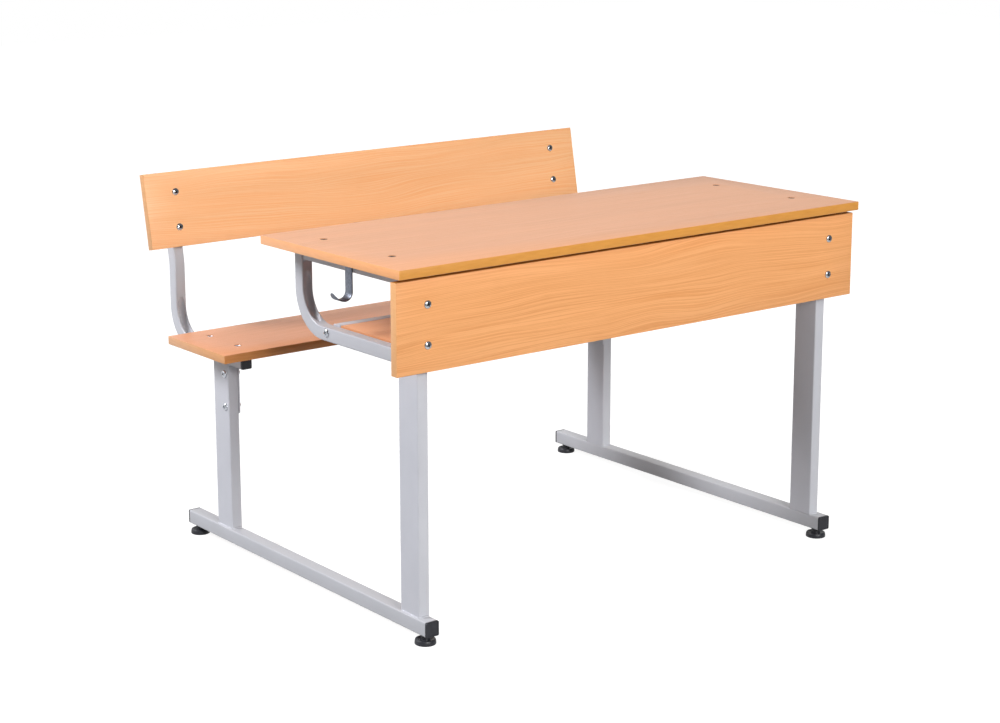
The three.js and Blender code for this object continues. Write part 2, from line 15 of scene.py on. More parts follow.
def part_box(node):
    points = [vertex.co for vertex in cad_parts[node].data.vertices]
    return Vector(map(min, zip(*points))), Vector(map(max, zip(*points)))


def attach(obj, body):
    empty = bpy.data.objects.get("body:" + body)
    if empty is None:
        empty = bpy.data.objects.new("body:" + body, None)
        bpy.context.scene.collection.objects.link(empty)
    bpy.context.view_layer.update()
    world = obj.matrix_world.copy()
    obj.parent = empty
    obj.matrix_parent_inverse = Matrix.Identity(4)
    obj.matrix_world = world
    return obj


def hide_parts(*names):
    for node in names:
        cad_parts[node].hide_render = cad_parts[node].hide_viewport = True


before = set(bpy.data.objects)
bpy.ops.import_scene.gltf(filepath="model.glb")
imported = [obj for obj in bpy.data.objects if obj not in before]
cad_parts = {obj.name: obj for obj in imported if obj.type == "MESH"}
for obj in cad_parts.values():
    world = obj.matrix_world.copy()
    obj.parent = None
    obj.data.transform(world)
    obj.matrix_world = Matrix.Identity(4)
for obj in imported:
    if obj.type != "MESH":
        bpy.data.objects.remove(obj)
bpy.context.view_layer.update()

MM = 0.001

# %% [markdown]
# ## The camera
# The picture was taken from the outer left corner of the desk, a little above the desktop. Three
# angles and a focal length, worked out from the corners of the boards, place the camera. The
# picture is cropped off centre, so the lens is shifted a little instead of turning the camera,
# which would change the perspective.

# %% Camera
CAMERA_PLACE = (-2.7655, -3.5113, 1.4723)
CAMERA_YAW, CAMERA_PITCH, CAMERA_ROLL = 34.829, -12.331, -0.815


def aim(yaw, pitch, roll):
    """The camera's turn: yaw from +Y towards +X, pitch above the horizon, then roll."""
    yaw, pitch, roll = (math.radians(angle) for angle in (yaw, pitch, roll))
    ahead = Vector((
        math.sin(yaw) * math.cos(pitch), math.cos(yaw) * math.cos(pitch), math.sin(pitch),
    ))
    right = Vector((math.cos(yaw), -math.sin(yaw), 0))
    up = right.cross(ahead)
    rolled_right = right * math.cos(roll) + up * math.sin(roll)
    rolled_up = up * math.cos(roll) - right * math.sin(roll)
    return Matrix((rolled_right, rolled_up, -ahead)).transposed()


lens = bpy.data.cameras.new("camera")
lens.lens = 75.74
lens.sensor_width = 36
lens.shift_x = 0.13
lens.shift_y = -0.0495
camera = bpy.data.objects.new("camera", lens)
bpy.context.collection.objects.link(camera)
turn = aim(CAMERA_YAW, CAMERA_PITCH, CAMERA_ROLL).to_4x4()
camera.matrix_world = Matrix.Translation(CAMERA_PLACE) @ turn
bpy.context.scene.camera = camera
bpy.context.scene.view_settings.view_transform = "Standard"
print("camera at", [round(v, 3) for v in camera.location])

# %% [markdown]
# ## Small helpers
# Every piece starts as a primitive, is shaped in edit mode and is finished with modifiers. An
# operator works on whatever is selected, so the helpers clear the selection first and then pick
# faces, edges or vertices by where they are and which way they point.

# %% Helpers for modelling
X, Y, Z = 0, 1, 2
NEARLY = 0.9  # what points this much along an axis lies along it
HARDLY = 0.1  # and what points this little along it is square to it
LEVEL = 0.99  # a flat face is this level, but not the strips that round its edges
SAME_PLACE = 0.01 * MM
CLOSE = 0.1 * MM
ROUND = 0.5  # the bevel profile that is an arc of a circle


def clear_selection():
    bpy.ops.object.select_all(action="DESELECT")


def only(piece):
    clear_selection()
    piece.select_set(True)
    bpy.context.view_layer.objects.active = piece


def settle(piece):
    """Writes the object's place, turn and size into its mesh."""
    only(piece)
    bpy.ops.object.transform_apply(location=True, rotation=True, scale=True)


def added(name, size=(1, 1, 1)):
    """The primitive that was just added, named, sized and settled."""
    piece = bpy.context.object
    piece.name = piece.data.name = name
    piece.scale = size
    settle(piece)
    return piece


def edit(piece, kind):
    """Opens the piece in edit mode with nothing selected. Kind is VERT, EDGE or FACE."""
    only(piece)
    bpy.ops.object.mode_set(mode="EDIT")
    bpy.ops.mesh.select_mode(type=kind)
    bpy.ops.mesh.select_all(action="DESELECT")


def close(piece):
    """Leaves edit mode with doubles merged and faces pointing out."""
    bpy.ops.mesh.select_all(action="SELECT")
    bpy.ops.mesh.remove_doubles(threshold=SAME_PLACE)
    bpy.ops.mesh.normals_make_consistent(inside=False)
    bpy.ops.object.mode_set(mode="OBJECT")
    return piece


def pick(piece, kind, test):
    """Selects, in edit mode, the verts, edges or faces that pass the test."""
    shape = bmesh.from_edit_mesh(piece.data)
    bpy.ops.mesh.select_all(action="DESELECT")
    for part in getattr(shape, kind):
        if test(part):
            part.select = True
    shape.select_flush_mode()
    bmesh.update_edit_mesh(piece.data)


def middle(part):
    """The middle of an edge or a face."""
    return sum((vertex.co for vertex in part.verts), Vector()) / len(part.verts)


def way(edge):
    """The direction in which an edge runs."""
    return (edge.verts[1].co - edge.verts[0].co).normalized()


def block(name, low, high):
    """A box from its low corner to its high corner."""
    low, high = Vector(low), Vector(high)
    clear_selection()
    bpy.ops.mesh.primitive_cube_add(size=1, location=(low + high) / 2)
    return added(name, high - low)


def round_edges(piece, test, radius, segments):
    """Rounds the edges that pass the test."""
    edit(piece, "EDGE")
    pick(piece, "edges", test)
    bpy.ops.mesh.bevel(offset=radius, segments=segments, profile=ROUND, affect="EDGES")
    return close(piece)


def cut(piece, tool):
    """Cuts the tool's shape out of the piece and throws the tool away."""
    only(piece)
    hole = piece.modifiers.new("hole", "BOOLEAN")
    hole.operation = "DIFFERENCE"
    hole.solver = "EXACT"
    hole.object = tool
    bpy.ops.object.modifier_apply(modifier=hole.name)
    bpy.data.objects.remove(tool)
    return piece


def join(name, pieces):
    """Makes one object of the pieces."""
    only(pieces[0])
    for piece in pieces:
        piece.select_set(True)
    if len(pieces) > 1:
        bpy.ops.object.join()
    pieces[0].name = pieces[0].data.name = name
    return pieces[0]


def smooth(piece, angle=35):
    """Shades the piece smooth, but for edges that turn by more than the angle."""
    only(piece)
    bpy.ops.object.shade_smooth_by_angle(angle=math.radians(angle))
    return piece


def twin(piece, name, move):
    """A copy with a mesh of its own, moved by a matrix that is written into the mesh."""
    copy = piece.copy()
    copy.data = piece.data.copy()
    copy.name = copy.data.name = name
    bpy.context.collection.objects.link(copy)
    copy.data.transform(move)
    if move.determinant() < 0:
        copy.data.flip_normals()
    return copy


MIRROR = Matrix.Scale(-1, 4, (1, 0, 0))
print("helpers ready")

# %% [markdown]
# ## Colours and material nodes
# Colours are written as they look on a screen. The shader works with linear light, so one function
# turns them. A second one adds a node with its settings and its links. Noise patterns get their
# real size from a scale, which says how many patches of noise fit in a metre: 650 makes them
# 1.5 mm wide. A Mapping node gives a pattern a scale of its own in each direction.

# %% Helpers for materials
# Noise seldom leaves this span, so the span is what gets spread over the values that it drives.
NOISE_SPAN = {"From Min": 0.3, "From Max": 0.7}

# A Mix node has a socket of the same name for each type of value, so its sockets are reached by
# their numbers.
MIX_SHARE, NUMBER_A, NUMBER_B = 0, 2, 3
COLOUR_A, COLOUR_B, MIXED_COLOUR = 6, 7, 2


def colour(code):
    """A hex colour as linear red, green, blue and alpha."""
    shares = [int(code[i:i + 2], 16) / 255 for i in (1, 3, 5)]
    linear = [s / 12.92 if s <= 0.04045 else ((s + 0.055) / 1.055) ** 2.4 for s in shares]
    return (*linear, 1)


def node(tree, kind, inputs=None, links=None, stops=(), **settings):
    """Adds a node: plain inputs, inputs linked to other nodes, a colour ramp's stops, settings.
    A link that names a node comes from the node's first output."""
    made = tree.nodes.new(kind)
    for name, value in settings.items():
        setattr(made, name, value)
    for name, value in (inputs or {}).items():
        made.inputs[name].default_value = value
    for name, source in (links or {}).items():
        socket = source.outputs[0] if hasattr(source, "outputs") else source
        tree.links.new(socket, made.inputs[name])
    for index, (position, code) in enumerate(stops):
        made.color_ramp.elements[index].position = position
        made.color_ramp.elements[index].color = colour(code)
    return made


def new_material(name):
    """An empty material, its nodes, and the coordinates of the piece in metres."""
    material = bpy.data.materials.new(name)
    material.use_nodes = True
    tree = material.node_tree
    tree.nodes.clear()
    return material, tree, node(tree, "ShaderNodeTexCoord").outputs["Object"]


print("material helpers ready")

# %% [markdown]
# ## Beech melamine
# The boards are particle board pressed with a melamine paper that is printed like beech: a warm
# orange ground, long soft darker veins along the board and short fine pores between them. The
# paper is under a thin clear resin skin, which gives a soft, even sheen. Noise draws the pattern,
# because it never repeats and keeps its real size on a board of any length: stretched along X it
# makes veins, and a second, finer one makes pores.

# %% Beech melamine
# patches of noise in a metre, along the board and across it; the third way isn't used
SWAY = (1.9, 5, 1)
VEINS = (2.5, 640, 1)  # streaks 1.5 mm wide and 400 mm long, so the veins lie 3 mm apart
PORES = (25, 900, 1)  # 1 mm wide and 40 mm long, since real ones are too fine to show
TONE = (1.2, 18, 1)
SWAY_REACH = 0.1  # metres, for the whole range of the noise


def beech(name, shift, ground, vein, pore):
    """Printed beech. Shift moves the pattern, so that no two boards show the same veins."""
    material, tree, place = new_material(name)
    moved = node(tree, "ShaderNodeVectorMath", {1: shift}, {0: place}, operation="ADD")
    # only the ways along and across count, so a vein stays whole through the board's thickness
    apart = node(tree, "ShaderNodeSeparateXYZ", {}, {"Vector": moved})
    along = apart.outputs["X"]
    across = node(
        tree, "ShaderNodeMath", {}, {0: apart.outputs["Y"], 1: apart.outputs["Z"]}, operation="ADD",
    )
    flat = node(tree, "ShaderNodeCombineXYZ", {}, {"X": along, "Y": across})
    # the veins sway up and down in long waves, which closes some of them into pointed arches
    waves = node(tree, "ShaderNodeMapping", {"Scale": SWAY}, {"Vector": flat})
    sway = node(
        tree, "ShaderNodeTexNoise", {"Scale": 1, "Detail": 1.5, "Roughness": 0.4},
        {"Vector": waves},
    )
    swayed = node(
        tree, "ShaderNodeMath", {1: SWAY_REACH}, {0: sway, 2: across}, operation="MULTIPLY_ADD",
    )
    flow = node(tree, "ShaderNodeCombineXYZ", {}, {"X": along, "Y": swayed})
    veins, pores, tone = (
        node(
            tree, "ShaderNodeTexNoise", {"Scale": 1, "Detail": detail, "Roughness": roughness},
            {"Vector": node(tree, "ShaderNodeMapping", {"Scale": scale}, {"Vector": flow})},
        )
        for scale, detail, roughness in ((VEINS, 2, 0.6), (PORES, 2, 0.6), (TONE, 1, 0.5))
    )
    veined = node(tree, "ShaderNodeValToRGB", {}, {"Fac": veins}, [(0.42, vein), (0.55, ground)])
    pore_share = node(
        tree, "ShaderNodeMapRange", {"From Min": 0.56, "From Max": 0.72, "To Max": 0.28},
        {"Value": pores},
    )
    with_pores = node(
        tree, "ShaderNodeMix", {COLOUR_B: colour(pore)}, {COLOUR_A: veined, MIX_SHARE: pore_share},
        data_type="RGBA",
    )
    # the tone changes slowly over the board, by two hundredths either way
    brightness = node(
        tree, "ShaderNodeMapRange", {**NOISE_SPAN, "To Min": 0.98, "To Max": 1.02}, {"Value": tone},
    )
    toned = node(
        tree, "ShaderNodeVectorMath", {},
        {0: with_pores.outputs[MIXED_COLOUR], "Scale": brightness}, operation="SCALE",
    )
    rough = node(
        tree, "ShaderNodeMapRange", {**NOISE_SPAN, "To Min": 0.38, "To Max": 0.48},
        {"Value": pores},
    )
    relief = node(
        tree, "ShaderNodeBump", {"Strength": 0.06, "Distance": 0.2 * MM}, {"Height": pores},
    )
    shader = node(
        tree, "ShaderNodeBsdfPrincipled", {"Specular IOR Level": 0.42},
        {"Base Color": toned, "Roughness": rough, "Normal": relief},
    )
    node(tree, "ShaderNodeOutputMaterial", {}, {"Surface": shader})
    return material


# Each board's ground, vein and pore hold its own tone and painted light and shade as well.
laminates = {
    "desktop": beech(
        "beech_melamine_desktop", (0.3, 1.7, 0.4), "#E6A87F", "#DC9D72", "#CF9065"),
    "modesty_panel": beech(
        "beech_melamine_panel", (4.1, 0.2, 2.3), "#F4B075", "#E69D60", "#D38C4D"),
    "backrest_board": beech(
        "beech_melamine_backrest", (7.7, 3.1, 5.2), "#FFC490", "#FBB37A", "#EEA369"),
    "seat_board": beech(
        "beech_melamine_seat", (2.9, 5.5, 1.1), "#EBA77E", "#DF996D", "#D28D5F"),
    "book_shelf": beech(
        "beech_melamine_shelf", (9.3, 6.4, 3.8), "#EEAA7C", "#E49E6E", "#D89564"),
}
print("laminates:", len(laminates))

# %% [markdown]
# ## Edge band
# The sawn edges are covered with a thin plastic band in a plain beech tone. It has no grain to
# speak of, only a slight unevenness from its glue, and is a little glossier than the faces. Each
# board gets two: the long edges' band is browner, partly its own ochre and partly painted shade,
# and the short ends' band is lighter as painted light. Two close tones under a stretched noise
# are enough for it; a printed grain would say veneer.

# %% Edge band
BAND_PATCHES = (30, 30, 240)  # unevenness about 30 mm long and 4 mm high


def edge_band(name, base, low):
    material, tree, place = new_material(name)
    patches = node(tree, "ShaderNodeMapping", {"Scale": BAND_PATCHES}, {"Vector": place})
    uneven = node(tree, "ShaderNodeTexNoise", {"Scale": 1, "Detail": 3}, {"Vector": patches})
    tone = node(tree, "ShaderNodeValToRGB", {}, {"Fac": uneven}, [(0.3, low), (0.7, base)])
    shader = node(
        tree, "ShaderNodeBsdfPrincipled",
        {"Roughness": 0.38, "Coat Weight": 0.1, "Coat Roughness": 0.3}, {"Base Color": tone},
    )
    node(tree, "ShaderNodeOutputMaterial", {}, {"Surface": shader})
    return material


# the long edges' tone and its low, then the short ends' tone and its low
# the long tones carry painted shade and the end tones painted light
BAND_TONES = {
    "desktop": ("#E09C48", "#D79340", "#F8B278", "#F0A96F"),
    "modesty_panel": ("#DB9744", "#D28E3D", "#EFB277", "#E8AA6E"),
    "seat_board": ("#D28A48", "#C8803E", "#DBA06C", "#D29662"),
    "backrest_board": ("#DB9744", "#D28E3D", "#DDA36C", "#D49A63"),
    "book_shelf": ("#DB9764", "#D28E5A", "#DD9666", "#D48D5D"),
}
bands = {
    name: (
        edge_band("beech_edge_band_long_" + name, long_base, long_low),
        edge_band("beech_edge_band_end_" + name, end_base, end_low),
    )
    for name, (long_base, long_low, end_base, end_low) in BAND_TONES.items()
}
print("edge bands:", 2 * len(bands))

# %% [markdown]
# ## Raw chipboard
# The panel's upper edge lies hidden under the desktop, so it is sawn off square and has no band.
# It shows the pressed chips of the core, brown and rough, and reads as a dark line from the front.
# Voronoi cells have the flat, angular look of chips, which noise has not.

# %% Raw chipboard
CHIPS = (260, 700, 700)  # chips about 4 mm long and 1.5 mm thick, pressed flat


def chipboard(name, light, dark):
    material, tree, place = new_material(name)
    flat = node(tree, "ShaderNodeMapping", {"Scale": CHIPS}, {"Vector": place})
    chips = node(tree, "ShaderNodeTexVoronoi", {"Scale": 1}, {"Vector": flat})
    tone = node(tree, "ShaderNodeValToRGB", {}, {"Fac": chips}, [(0.1, light), (0.7, dark)])
    grit = node(tree, "ShaderNodeTexNoise", {"Scale": 900, "Detail": 2}, {"Vector": place})
    pressed = node(
        tree, "ShaderNodeBump", {"Strength": 0.5, "Distance": 0.4 * MM}, {"Height": grit},
    )
    shader = node(
        tree, "ShaderNodeBsdfPrincipled", {"Roughness": 0.9, "Specular IOR Level": 0.2},
        {"Base Color": tone, "Normal": pressed},
    )
    node(tree, "ShaderNodeOutputMaterial", {}, {"Surface": shader})
    return material


raw_chipboard = chipboard("raw_chipboard", "#D0904A", "#A87034")
print("chipboard:", raw_chipboard.name)

# %% [markdown]
# ## Powder coat
# The frames are powder coated in light silver grey: an even satin skin with the faint waviness
# called orange peel, about 1.5 mm from crest to crest. The waviness is a bump, since it is too fine
# to be modelled. The bent bows and the skids get their own copies of the coat, a shade darker
# than on the straight tubes as painted shade.

# %% Powder coat
def powder_coat(name, base, low):
    material, tree, place = new_material(name)
    cloud = node(tree, "ShaderNodeTexNoise", {"Scale": 14, "Detail": 2}, {"Vector": place})
    tone = node(tree, "ShaderNodeValToRGB", {}, {"Fac": cloud}, [(0.3, low), (0.7, base)])
    rough = node(
        tree, "ShaderNodeMapRange", {**NOISE_SPAN, "To Min": 0.33, "To Max": 0.41},
        {"Value": cloud},
    )
    peel = node(tree, "ShaderNodeTexNoise", {"Scale": 650, "Detail": 1.5}, {"Vector": place})
    relief = node(
        tree, "ShaderNodeBump", {"Strength": 0.12, "Distance": 0.3 * MM}, {"Height": peel},
    )
    shader = node(
        tree, "ShaderNodeBsdfPrincipled", {"Coat Weight": 0.15, "Coat Roughness": 0.22},
        {"Base Color": tone, "Roughness": rough, "Normal": relief},
    )
    node(tree, "ShaderNodeOutputMaterial", {}, {"Surface": shader})
    return material


silver_grey = powder_coat("silver_grey_powder_coat", "#C7C8CF", "#C3C4CB")
# the bows' and skids' copies are darkened as painted shade
bent_grey_painted_shade = powder_coat("silver_grey_powder_coat_bent", "#C1C2C8", "#BDBEC4")
skid_grey_painted_shade = powder_coat("silver_grey_powder_coat_skid", "#BDBEC3", "#B9BABF")
print("powder coats:", silver_grey.name, bent_grey_painted_shade.name, skid_grey_painted_shade.name)

# %% [markdown]
# ## Moulded plastic
# The plugs and the feet are moulded black polypropylene, dull blue-black with soft highlights and
# a little dust. The mould is spark eroded, which leaves fine grains. A bump draws them 0.7 mm
# wide, because real ones are too fine to show.

# %% Moulded plastic
def moulded_plastic(name, base, low):
    material, tree, place = new_material(name)
    dust = node(tree, "ShaderNodeTexNoise", {"Scale": 90, "Detail": 3}, {"Vector": place})
    tone = node(tree, "ShaderNodeValToRGB", {}, {"Fac": dust}, [(0.35, low), (0.7, base)])
    grains = node(tree, "ShaderNodeTexNoise", {"Scale": 1400, "Detail": 2}, {"Vector": place})
    relief = node(
        tree, "ShaderNodeBump", {"Strength": 0.25, "Distance": 0.2 * MM}, {"Height": grains},
    )
    shader = node(
        tree, "ShaderNodeBsdfPrincipled", {"Roughness": 0.44, "Specular IOR Level": 0.45},
        {"Base Color": tone, "Normal": relief},
    )
    node(tree, "ShaderNodeOutputMaterial", {}, {"Surface": shader})
    return material


black_plastic = moulded_plastic("black_polypropylene", "#25262D", "#1B1C22")
print("plastic:", black_plastic.name)

# %% [markdown]
# ## Zinc plate
# Screws, bolts and hooks are zinc plated steel. Fresh plate is bright, slightly blue and a little
# cloudy, in patches of about 5 mm. The hooks' strip is a duller plate, darkened as painted shade
# under the desktop; the desktop's screws are darkened as painted shade of their sunk holes; and the
# walls of a cross recess are dark as painted shade. One metal shader serves all four: only its
# tones and its roughness differ.

# %% Zinc plate
def zinc_plate(name, base, low, roughness):
    material, tree, place = new_material(name)
    cloud = node(tree, "ShaderNodeTexNoise", {"Scale": 220, "Detail": 4}, {"Vector": place})
    tone = node(tree, "ShaderNodeValToRGB", {}, {"Fac": cloud}, [(0.35, low), (0.65, base)])
    span = {**NOISE_SPAN, "To Min": roughness - 0.06, "To Max": roughness + 0.08}
    rough = node(tree, "ShaderNodeMapRange", span, {"Value": cloud})
    shader = node(
        tree, "ShaderNodeBsdfPrincipled", {"Metallic": 1}, {"Base Color": tone, "Roughness": rough},
    )
    node(tree, "ShaderNodeOutputMaterial", {}, {"Surface": shader})
    return material


bright_zinc = zinc_plate("bright_zinc_plate", "#D3D6DA", "#B4B9C2", 0.16)
# darkened as painted shade under the desktop's overhang
hook_painted_shade_zinc = zinc_plate("blue_zinc_strip_painted_shade", "#7C818D", "#646973", 0.42)
# the desktop's screws, darkened as painted shade of their sunk holes
desktop_painted_shade_zinc = zinc_plate("zinc_plate_painted_shade", "#4A4446", "#37302F", 0.5)
# dark as painted shade in the cross recess
recess_painted_shade_zinc = zinc_plate("zinc_recess_painted_shade", "#24211E", "#171513", 0.55)
print("zinc plates:", bright_zinc.name, hook_painted_shade_zinc.name, desktop_painted_shade_zinc.name, recess_painted_shade_zinc.name)

# %% [markdown]
# ## Finishing a piece
# A finished piece takes its material, rides on the body that its solid belongs to, and stands in
# for that solid. Most pieces come in pairs: the left one is modelled and the right one is its
# mirror image, with a mesh of its own.

# %% Finishing
FIXED = "desk_body"
SIDES = ("left", "right")
ENDS = ("front", "rear")


def finish_piece(piece, solid, material=None, body=FIXED):
    if material:
        piece.data.materials.append(material)
    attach(piece, body)
    if solid:
        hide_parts(solid)


def other_side(name):
    return name.replace("left_", "right_") if name else name


def pair(piece, solid, material, body=FIXED):
    """Finishes the left piece and its mirror image on the right."""
    copy = twin(piece, other_side(piece.name), MIRROR)
    finish_piece(piece, solid, material, body)
    finish_piece(copy, other_side(solid), material, other_side(body))


print("ready to model")

# %% [markdown]
# ## Turned shapes
# Screws, feet and studs are round about an axis, like work on a lathe. One point is extruded from
# radius and height to the next, which draws half of the section, and the section is spun round.
# Stacked cylinders would do for a plain bolt, but not for a dome or a rounded rim.

# %% Turned shapes
def turned(name, profile, steps=32):
    """A shape turned about the Z axis, from points of radius and height in millimetres."""
    start_radius, start_height = profile[0]
    clear_selection()
    start = (start_radius * MM, 0, start_height * MM)
    bpy.ops.mesh.primitive_plane_add(size=MM, location=start)
    piece = added(name)
    edit(piece, "VERT")
    bpy.ops.mesh.select_all(action="SELECT")
    bpy.ops.mesh.merge(type="CENTER")
    for (radius, height), (next_radius, next_height) in zip(profile, profile[1:]):
        step = ((next_radius - radius) * MM, 0, (next_height - height) * MM)
        bpy.ops.mesh.extrude_vertices_move(TRANSFORM_OT_translate={"value": step})
    bpy.ops.mesh.select_all(action="SELECT")
    bpy.ops.mesh.spin(steps=steps, angle=2 * math.pi, center=(0, 0, 0), axis=(0, 0, 1))
    return close(piece)


# turns that point a shape made along +Z along another axis
UP = (0, 0, 0)
TO_FRONT = (math.radians(90), 0, 0)
TO_REAR = (math.radians(-90), 0, 0)
TO_LEFT = (0, math.radians(-90), 0)


def stand(piece, turn, place):
    """Turns a shape made at the origin and puts it in its place."""
    piece.rotation_euler = turn
    piece.location = place
    settle(piece)
    return piece


print("lathe ready")

# %% [markdown]
# ## Boards
# Each board is 18 mm thick. It starts as a cube of the board's size, all its edges are rounded by
# 0.8 mm as a trimmed edge band is, and holes are cut for its screws: plain ones for the domed
# screws, countersunk ones for the flush screws. The faces get the printed laminate and the
# edges get the band, chosen by which way a face points, so no seam has to be drawn.

# %% Board helpers
BOARD_THICKNESS = 18 * MM
EDGE_ROUND = 0.8 * MM
MOSTLY = 0.6  # a strip of a rounded edge goes with the side that it faces by this much
LONG_BAND, END_BAND, RAW_EDGE = 1, 2, 3
# radius and height in millimetres, with the board's surface at height 0
FLUSH_HOLE = [(0, -32), (3.3, -32), (3.3, -5.9), (8.3, -1.2), (8.3, 1), (0, 1)]
PLAIN_HOLE = [(0, -40), (3.3, -40), (3.3, 2), (0, 2)]


def box_middle(solid):
    low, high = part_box(solid)
    return Vector([(a + b) / 2 for a, b in zip(low, high)])


def dress_board(piece, name, thickness_axis):
    """Laminate on the two faces and band on the edges, but for the panel's upper one."""
    for material in (laminates[name], *bands[name], raw_chipboard):
        piece.data.materials.append(material)
    for face in piece.data.polygons:
        if name == "modesty_panel" and face.normal.z > MOSTLY:
            face.material_index = RAW_EDGE
        elif abs(face.normal[thickness_axis]) < NEARLY:
            face.material_index = END_BAND if abs(face.normal.x) > MOSTLY else LONG_BAND


def board(name, low, high, thickness_axis):
    piece = block(name + "_laminated", low, high)
    round_edges(piece, lambda edge: True, EDGE_ROUND, 2)
    dress_board(piece, name, thickness_axis)
    return piece


def drill(piece, profile, turn, places):
    for place in places:
        cut(piece, stand(turned("drill", profile), turn, place))


print("board helpers ready")

# %% Places of the screws in the flat boards
flush_places, domed_places = {}, {}
for name, solid in (("desktop", "desktop"), ("seat", "seat_board")):
    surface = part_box(solid)[1][Z]
    for side in SIDES:
        for end in ENDS:
            screw = f"{side}_{name}_screw_{end}"
            x, y, _ = box_middle(screw)
            flush_places[screw] = Vector((x, y, surface))
panel_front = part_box("modesty_panel")[0][Y]
for side in SIDES:
    for level in ("upper", "lower"):
        screw = f"{side}_panel_screw_{level}"
        x, _, z = box_middle(screw)
        domed_places[screw] = Vector((x, panel_front, z))
print("screws:", len(flush_places), "flush and", len(domed_places), "domed")

# %% Flat boards
FLAT_BOARDS = {"desktop": Z, "modesty_panel": Y, "seat_board": Z, "book_shelf": Z}
for name, thickness_axis in FLAT_BOARDS.items():
    piece = board(name, *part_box(name), thickness_axis)
    key = name.split("_")[0]
    drill(piece, FLUSH_HOLE, UP, [p for screw, p in flush_places.items() if f"_{key}_" in screw])
    if name == "modesty_panel":
        drill(piece, PLAIN_HOLE, TO_FRONT, domed_places.values())
    smooth(piece)
    finish_piece(piece, name)
print("flat boards:", len(FLAT_BOARDS))

# %% [markdown]
# ## Backrest
# The backrest is the same kind of board, leant back by 10.5 degrees with the uprights behind it.
# It is made upright about its own middle and then turned in one step, so its edges stay square.

# %% Backrest
LEAN = math.radians(10.5)
BACKREST_HEIGHT = 164 * MM
BACKREST_SCREWS = {"lower": 0.26, "upper": 0.73}  # shares of the board's height
frame_x = box_middle("left_front_leg").x
back_middle = box_middle("backrest_board")
back_up = Vector((0, math.sin(LEAN), math.cos(LEAN)))
back_out = Vector((0, -math.cos(LEAN), math.sin(LEAN)))
half = Vector((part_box("backrest_board")[1][X], BOARD_THICKNESS / 2, BACKREST_HEIGHT / 2))
piece = board("backrest_board", -half, half, Y)
for x in (frame_x, -frame_x):
    for share in BACKREST_SCREWS.values():
        up = (share - 0.5) * BACKREST_HEIGHT
        drill(piece, PLAIN_HOLE, TO_FRONT, [Vector((x, -half.y, up))])
stand(piece, (-LEAN, 0, 0), back_middle)
smooth(piece)
finish_piece(piece, "backrest_board")
print("backrest at", [round(v, 4) for v in back_middle])

# %% [markdown]
# ## Straight tubes
# The legs, rails and skids are cut from rectangular tube with a 1.5 mm wall. A block gets its four
# long edges rounded by 3 mm and loses its two ends, and the Solidify modifier gives the open shell
# its wall, inwards. So the cut ends of the tubes are hollow like the real ones.

# %% Straight tubes
TUBE_WALL = 1.5 * MM
TUBE_CORNER = 3 * MM
CORNER_STEPS = 5


def wall(piece):
    """Turns an open shell into a tube with a wall."""
    only(piece)
    shell = piece.modifiers.new("wall", "SOLIDIFY")
    shell.thickness = TUBE_WALL
    shell.offset = -1
    bpy.ops.object.modifier_apply(modifier=shell.name)
    return piece


def tube(solid, axis):
    """A straight tube over its solid, open at both ends of the axis."""
    piece = block(solid + "_tube", *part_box(solid))
    round_edges(piece, lambda edge: abs(way(edge)[axis]) > NEARLY, TUBE_CORNER, CORNER_STEPS)
    edit(piece, "FACE")
    pick(piece, "faces", lambda face: abs(face.normal[axis]) > NEARLY)
    bpy.ops.mesh.delete(type="FACE")
    close(piece)
    return smooth(wall(piece))


for solid, axis in (("left_front_leg", Z), ("left_rear_leg", Z), ("left_top_rail", Y)):
    pair(tube(solid, axis), solid, silver_grey)
print("legs and top rails ready")

# %% [markdown]
# ## Skids
# A skid is a longer tube that lies along the floor. Each foot screws into a nut welded over a hole
# in its bottom wall. The nut is a cylinder with six sides, rounded edges and a bore cut out of it,
# and is joined to the skid, as the weld does.

# %% Skids
NUT_CHAMFER = 0.6 * MM
FOOT_HOLE = [(0, -2), (5.2, -2), (5.2, 4), (0, 4)]


def hex_nut(name, radius, height, bore):
    """A nut standing on height 0: a six-sided block with turned-down corners and a bore."""
    clear_selection()
    bpy.ops.mesh.primitive_cylinder_add(
        vertices=6, radius=radius * MM, depth=height * MM, location=(0, 0, height * MM / 2),
    )
    piece = added(name)
    round_edges(piece, lambda edge: abs(way(edge).z) < HARDLY, NUT_CHAMFER, 2)
    # the cutter stands out by 1 mm at both ends
    return cut(piece, turned("bore", [(0, -1), (bore, -1), (bore, height + 1), (0, height + 1)]))


skid = tube("left_skid", Y)
skid_low, skid_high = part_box("left_skid")
nuts = []
for end in ENDS:
    foot = box_middle(f"left_{end}_foot_stud")
    floor_point = Vector((foot.x, foot.y, skid_low[Z]))
    cut(skid, stand(turned("hole", FOOT_HOLE), UP, floor_point))
    nut = hex_nut("foot_nut", radius=9.8, height=8, bore=5.1)
    nuts.append(stand(nut, UP, floor_point + Vector((0, 0, TUBE_WALL))))
skid = smooth(join("left_skid_tube", [skid, *nuts]))
pair(skid, "left_skid", skid_grey_painted_shade)
print("skids ready, nuts in each:", len(nuts))

# %% [markdown]
# ## Shelf rail
# A square tube runs from frame to frame behind the shelf. Its ends are closed with welded plates
# that take the bolts, so it can be a closed bar with rounded long edges.

# %% Shelf rail
rail = block("shelf_rail_tube", *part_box("shelf_rail"))
rail_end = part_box("shelf_rail")[1][X] - 0.5 * MM
round_edges(rail, lambda edge: abs(way(edge).x) > NEARLY, TUBE_CORNER, CORNER_STEPS)
round_edges(rail, lambda edge: abs(middle(edge).x) > rail_end, 0.5 * MM, 2)
finish_piece(smooth(rail), "shelf_rail", silver_grey)
print("shelf rail ready")

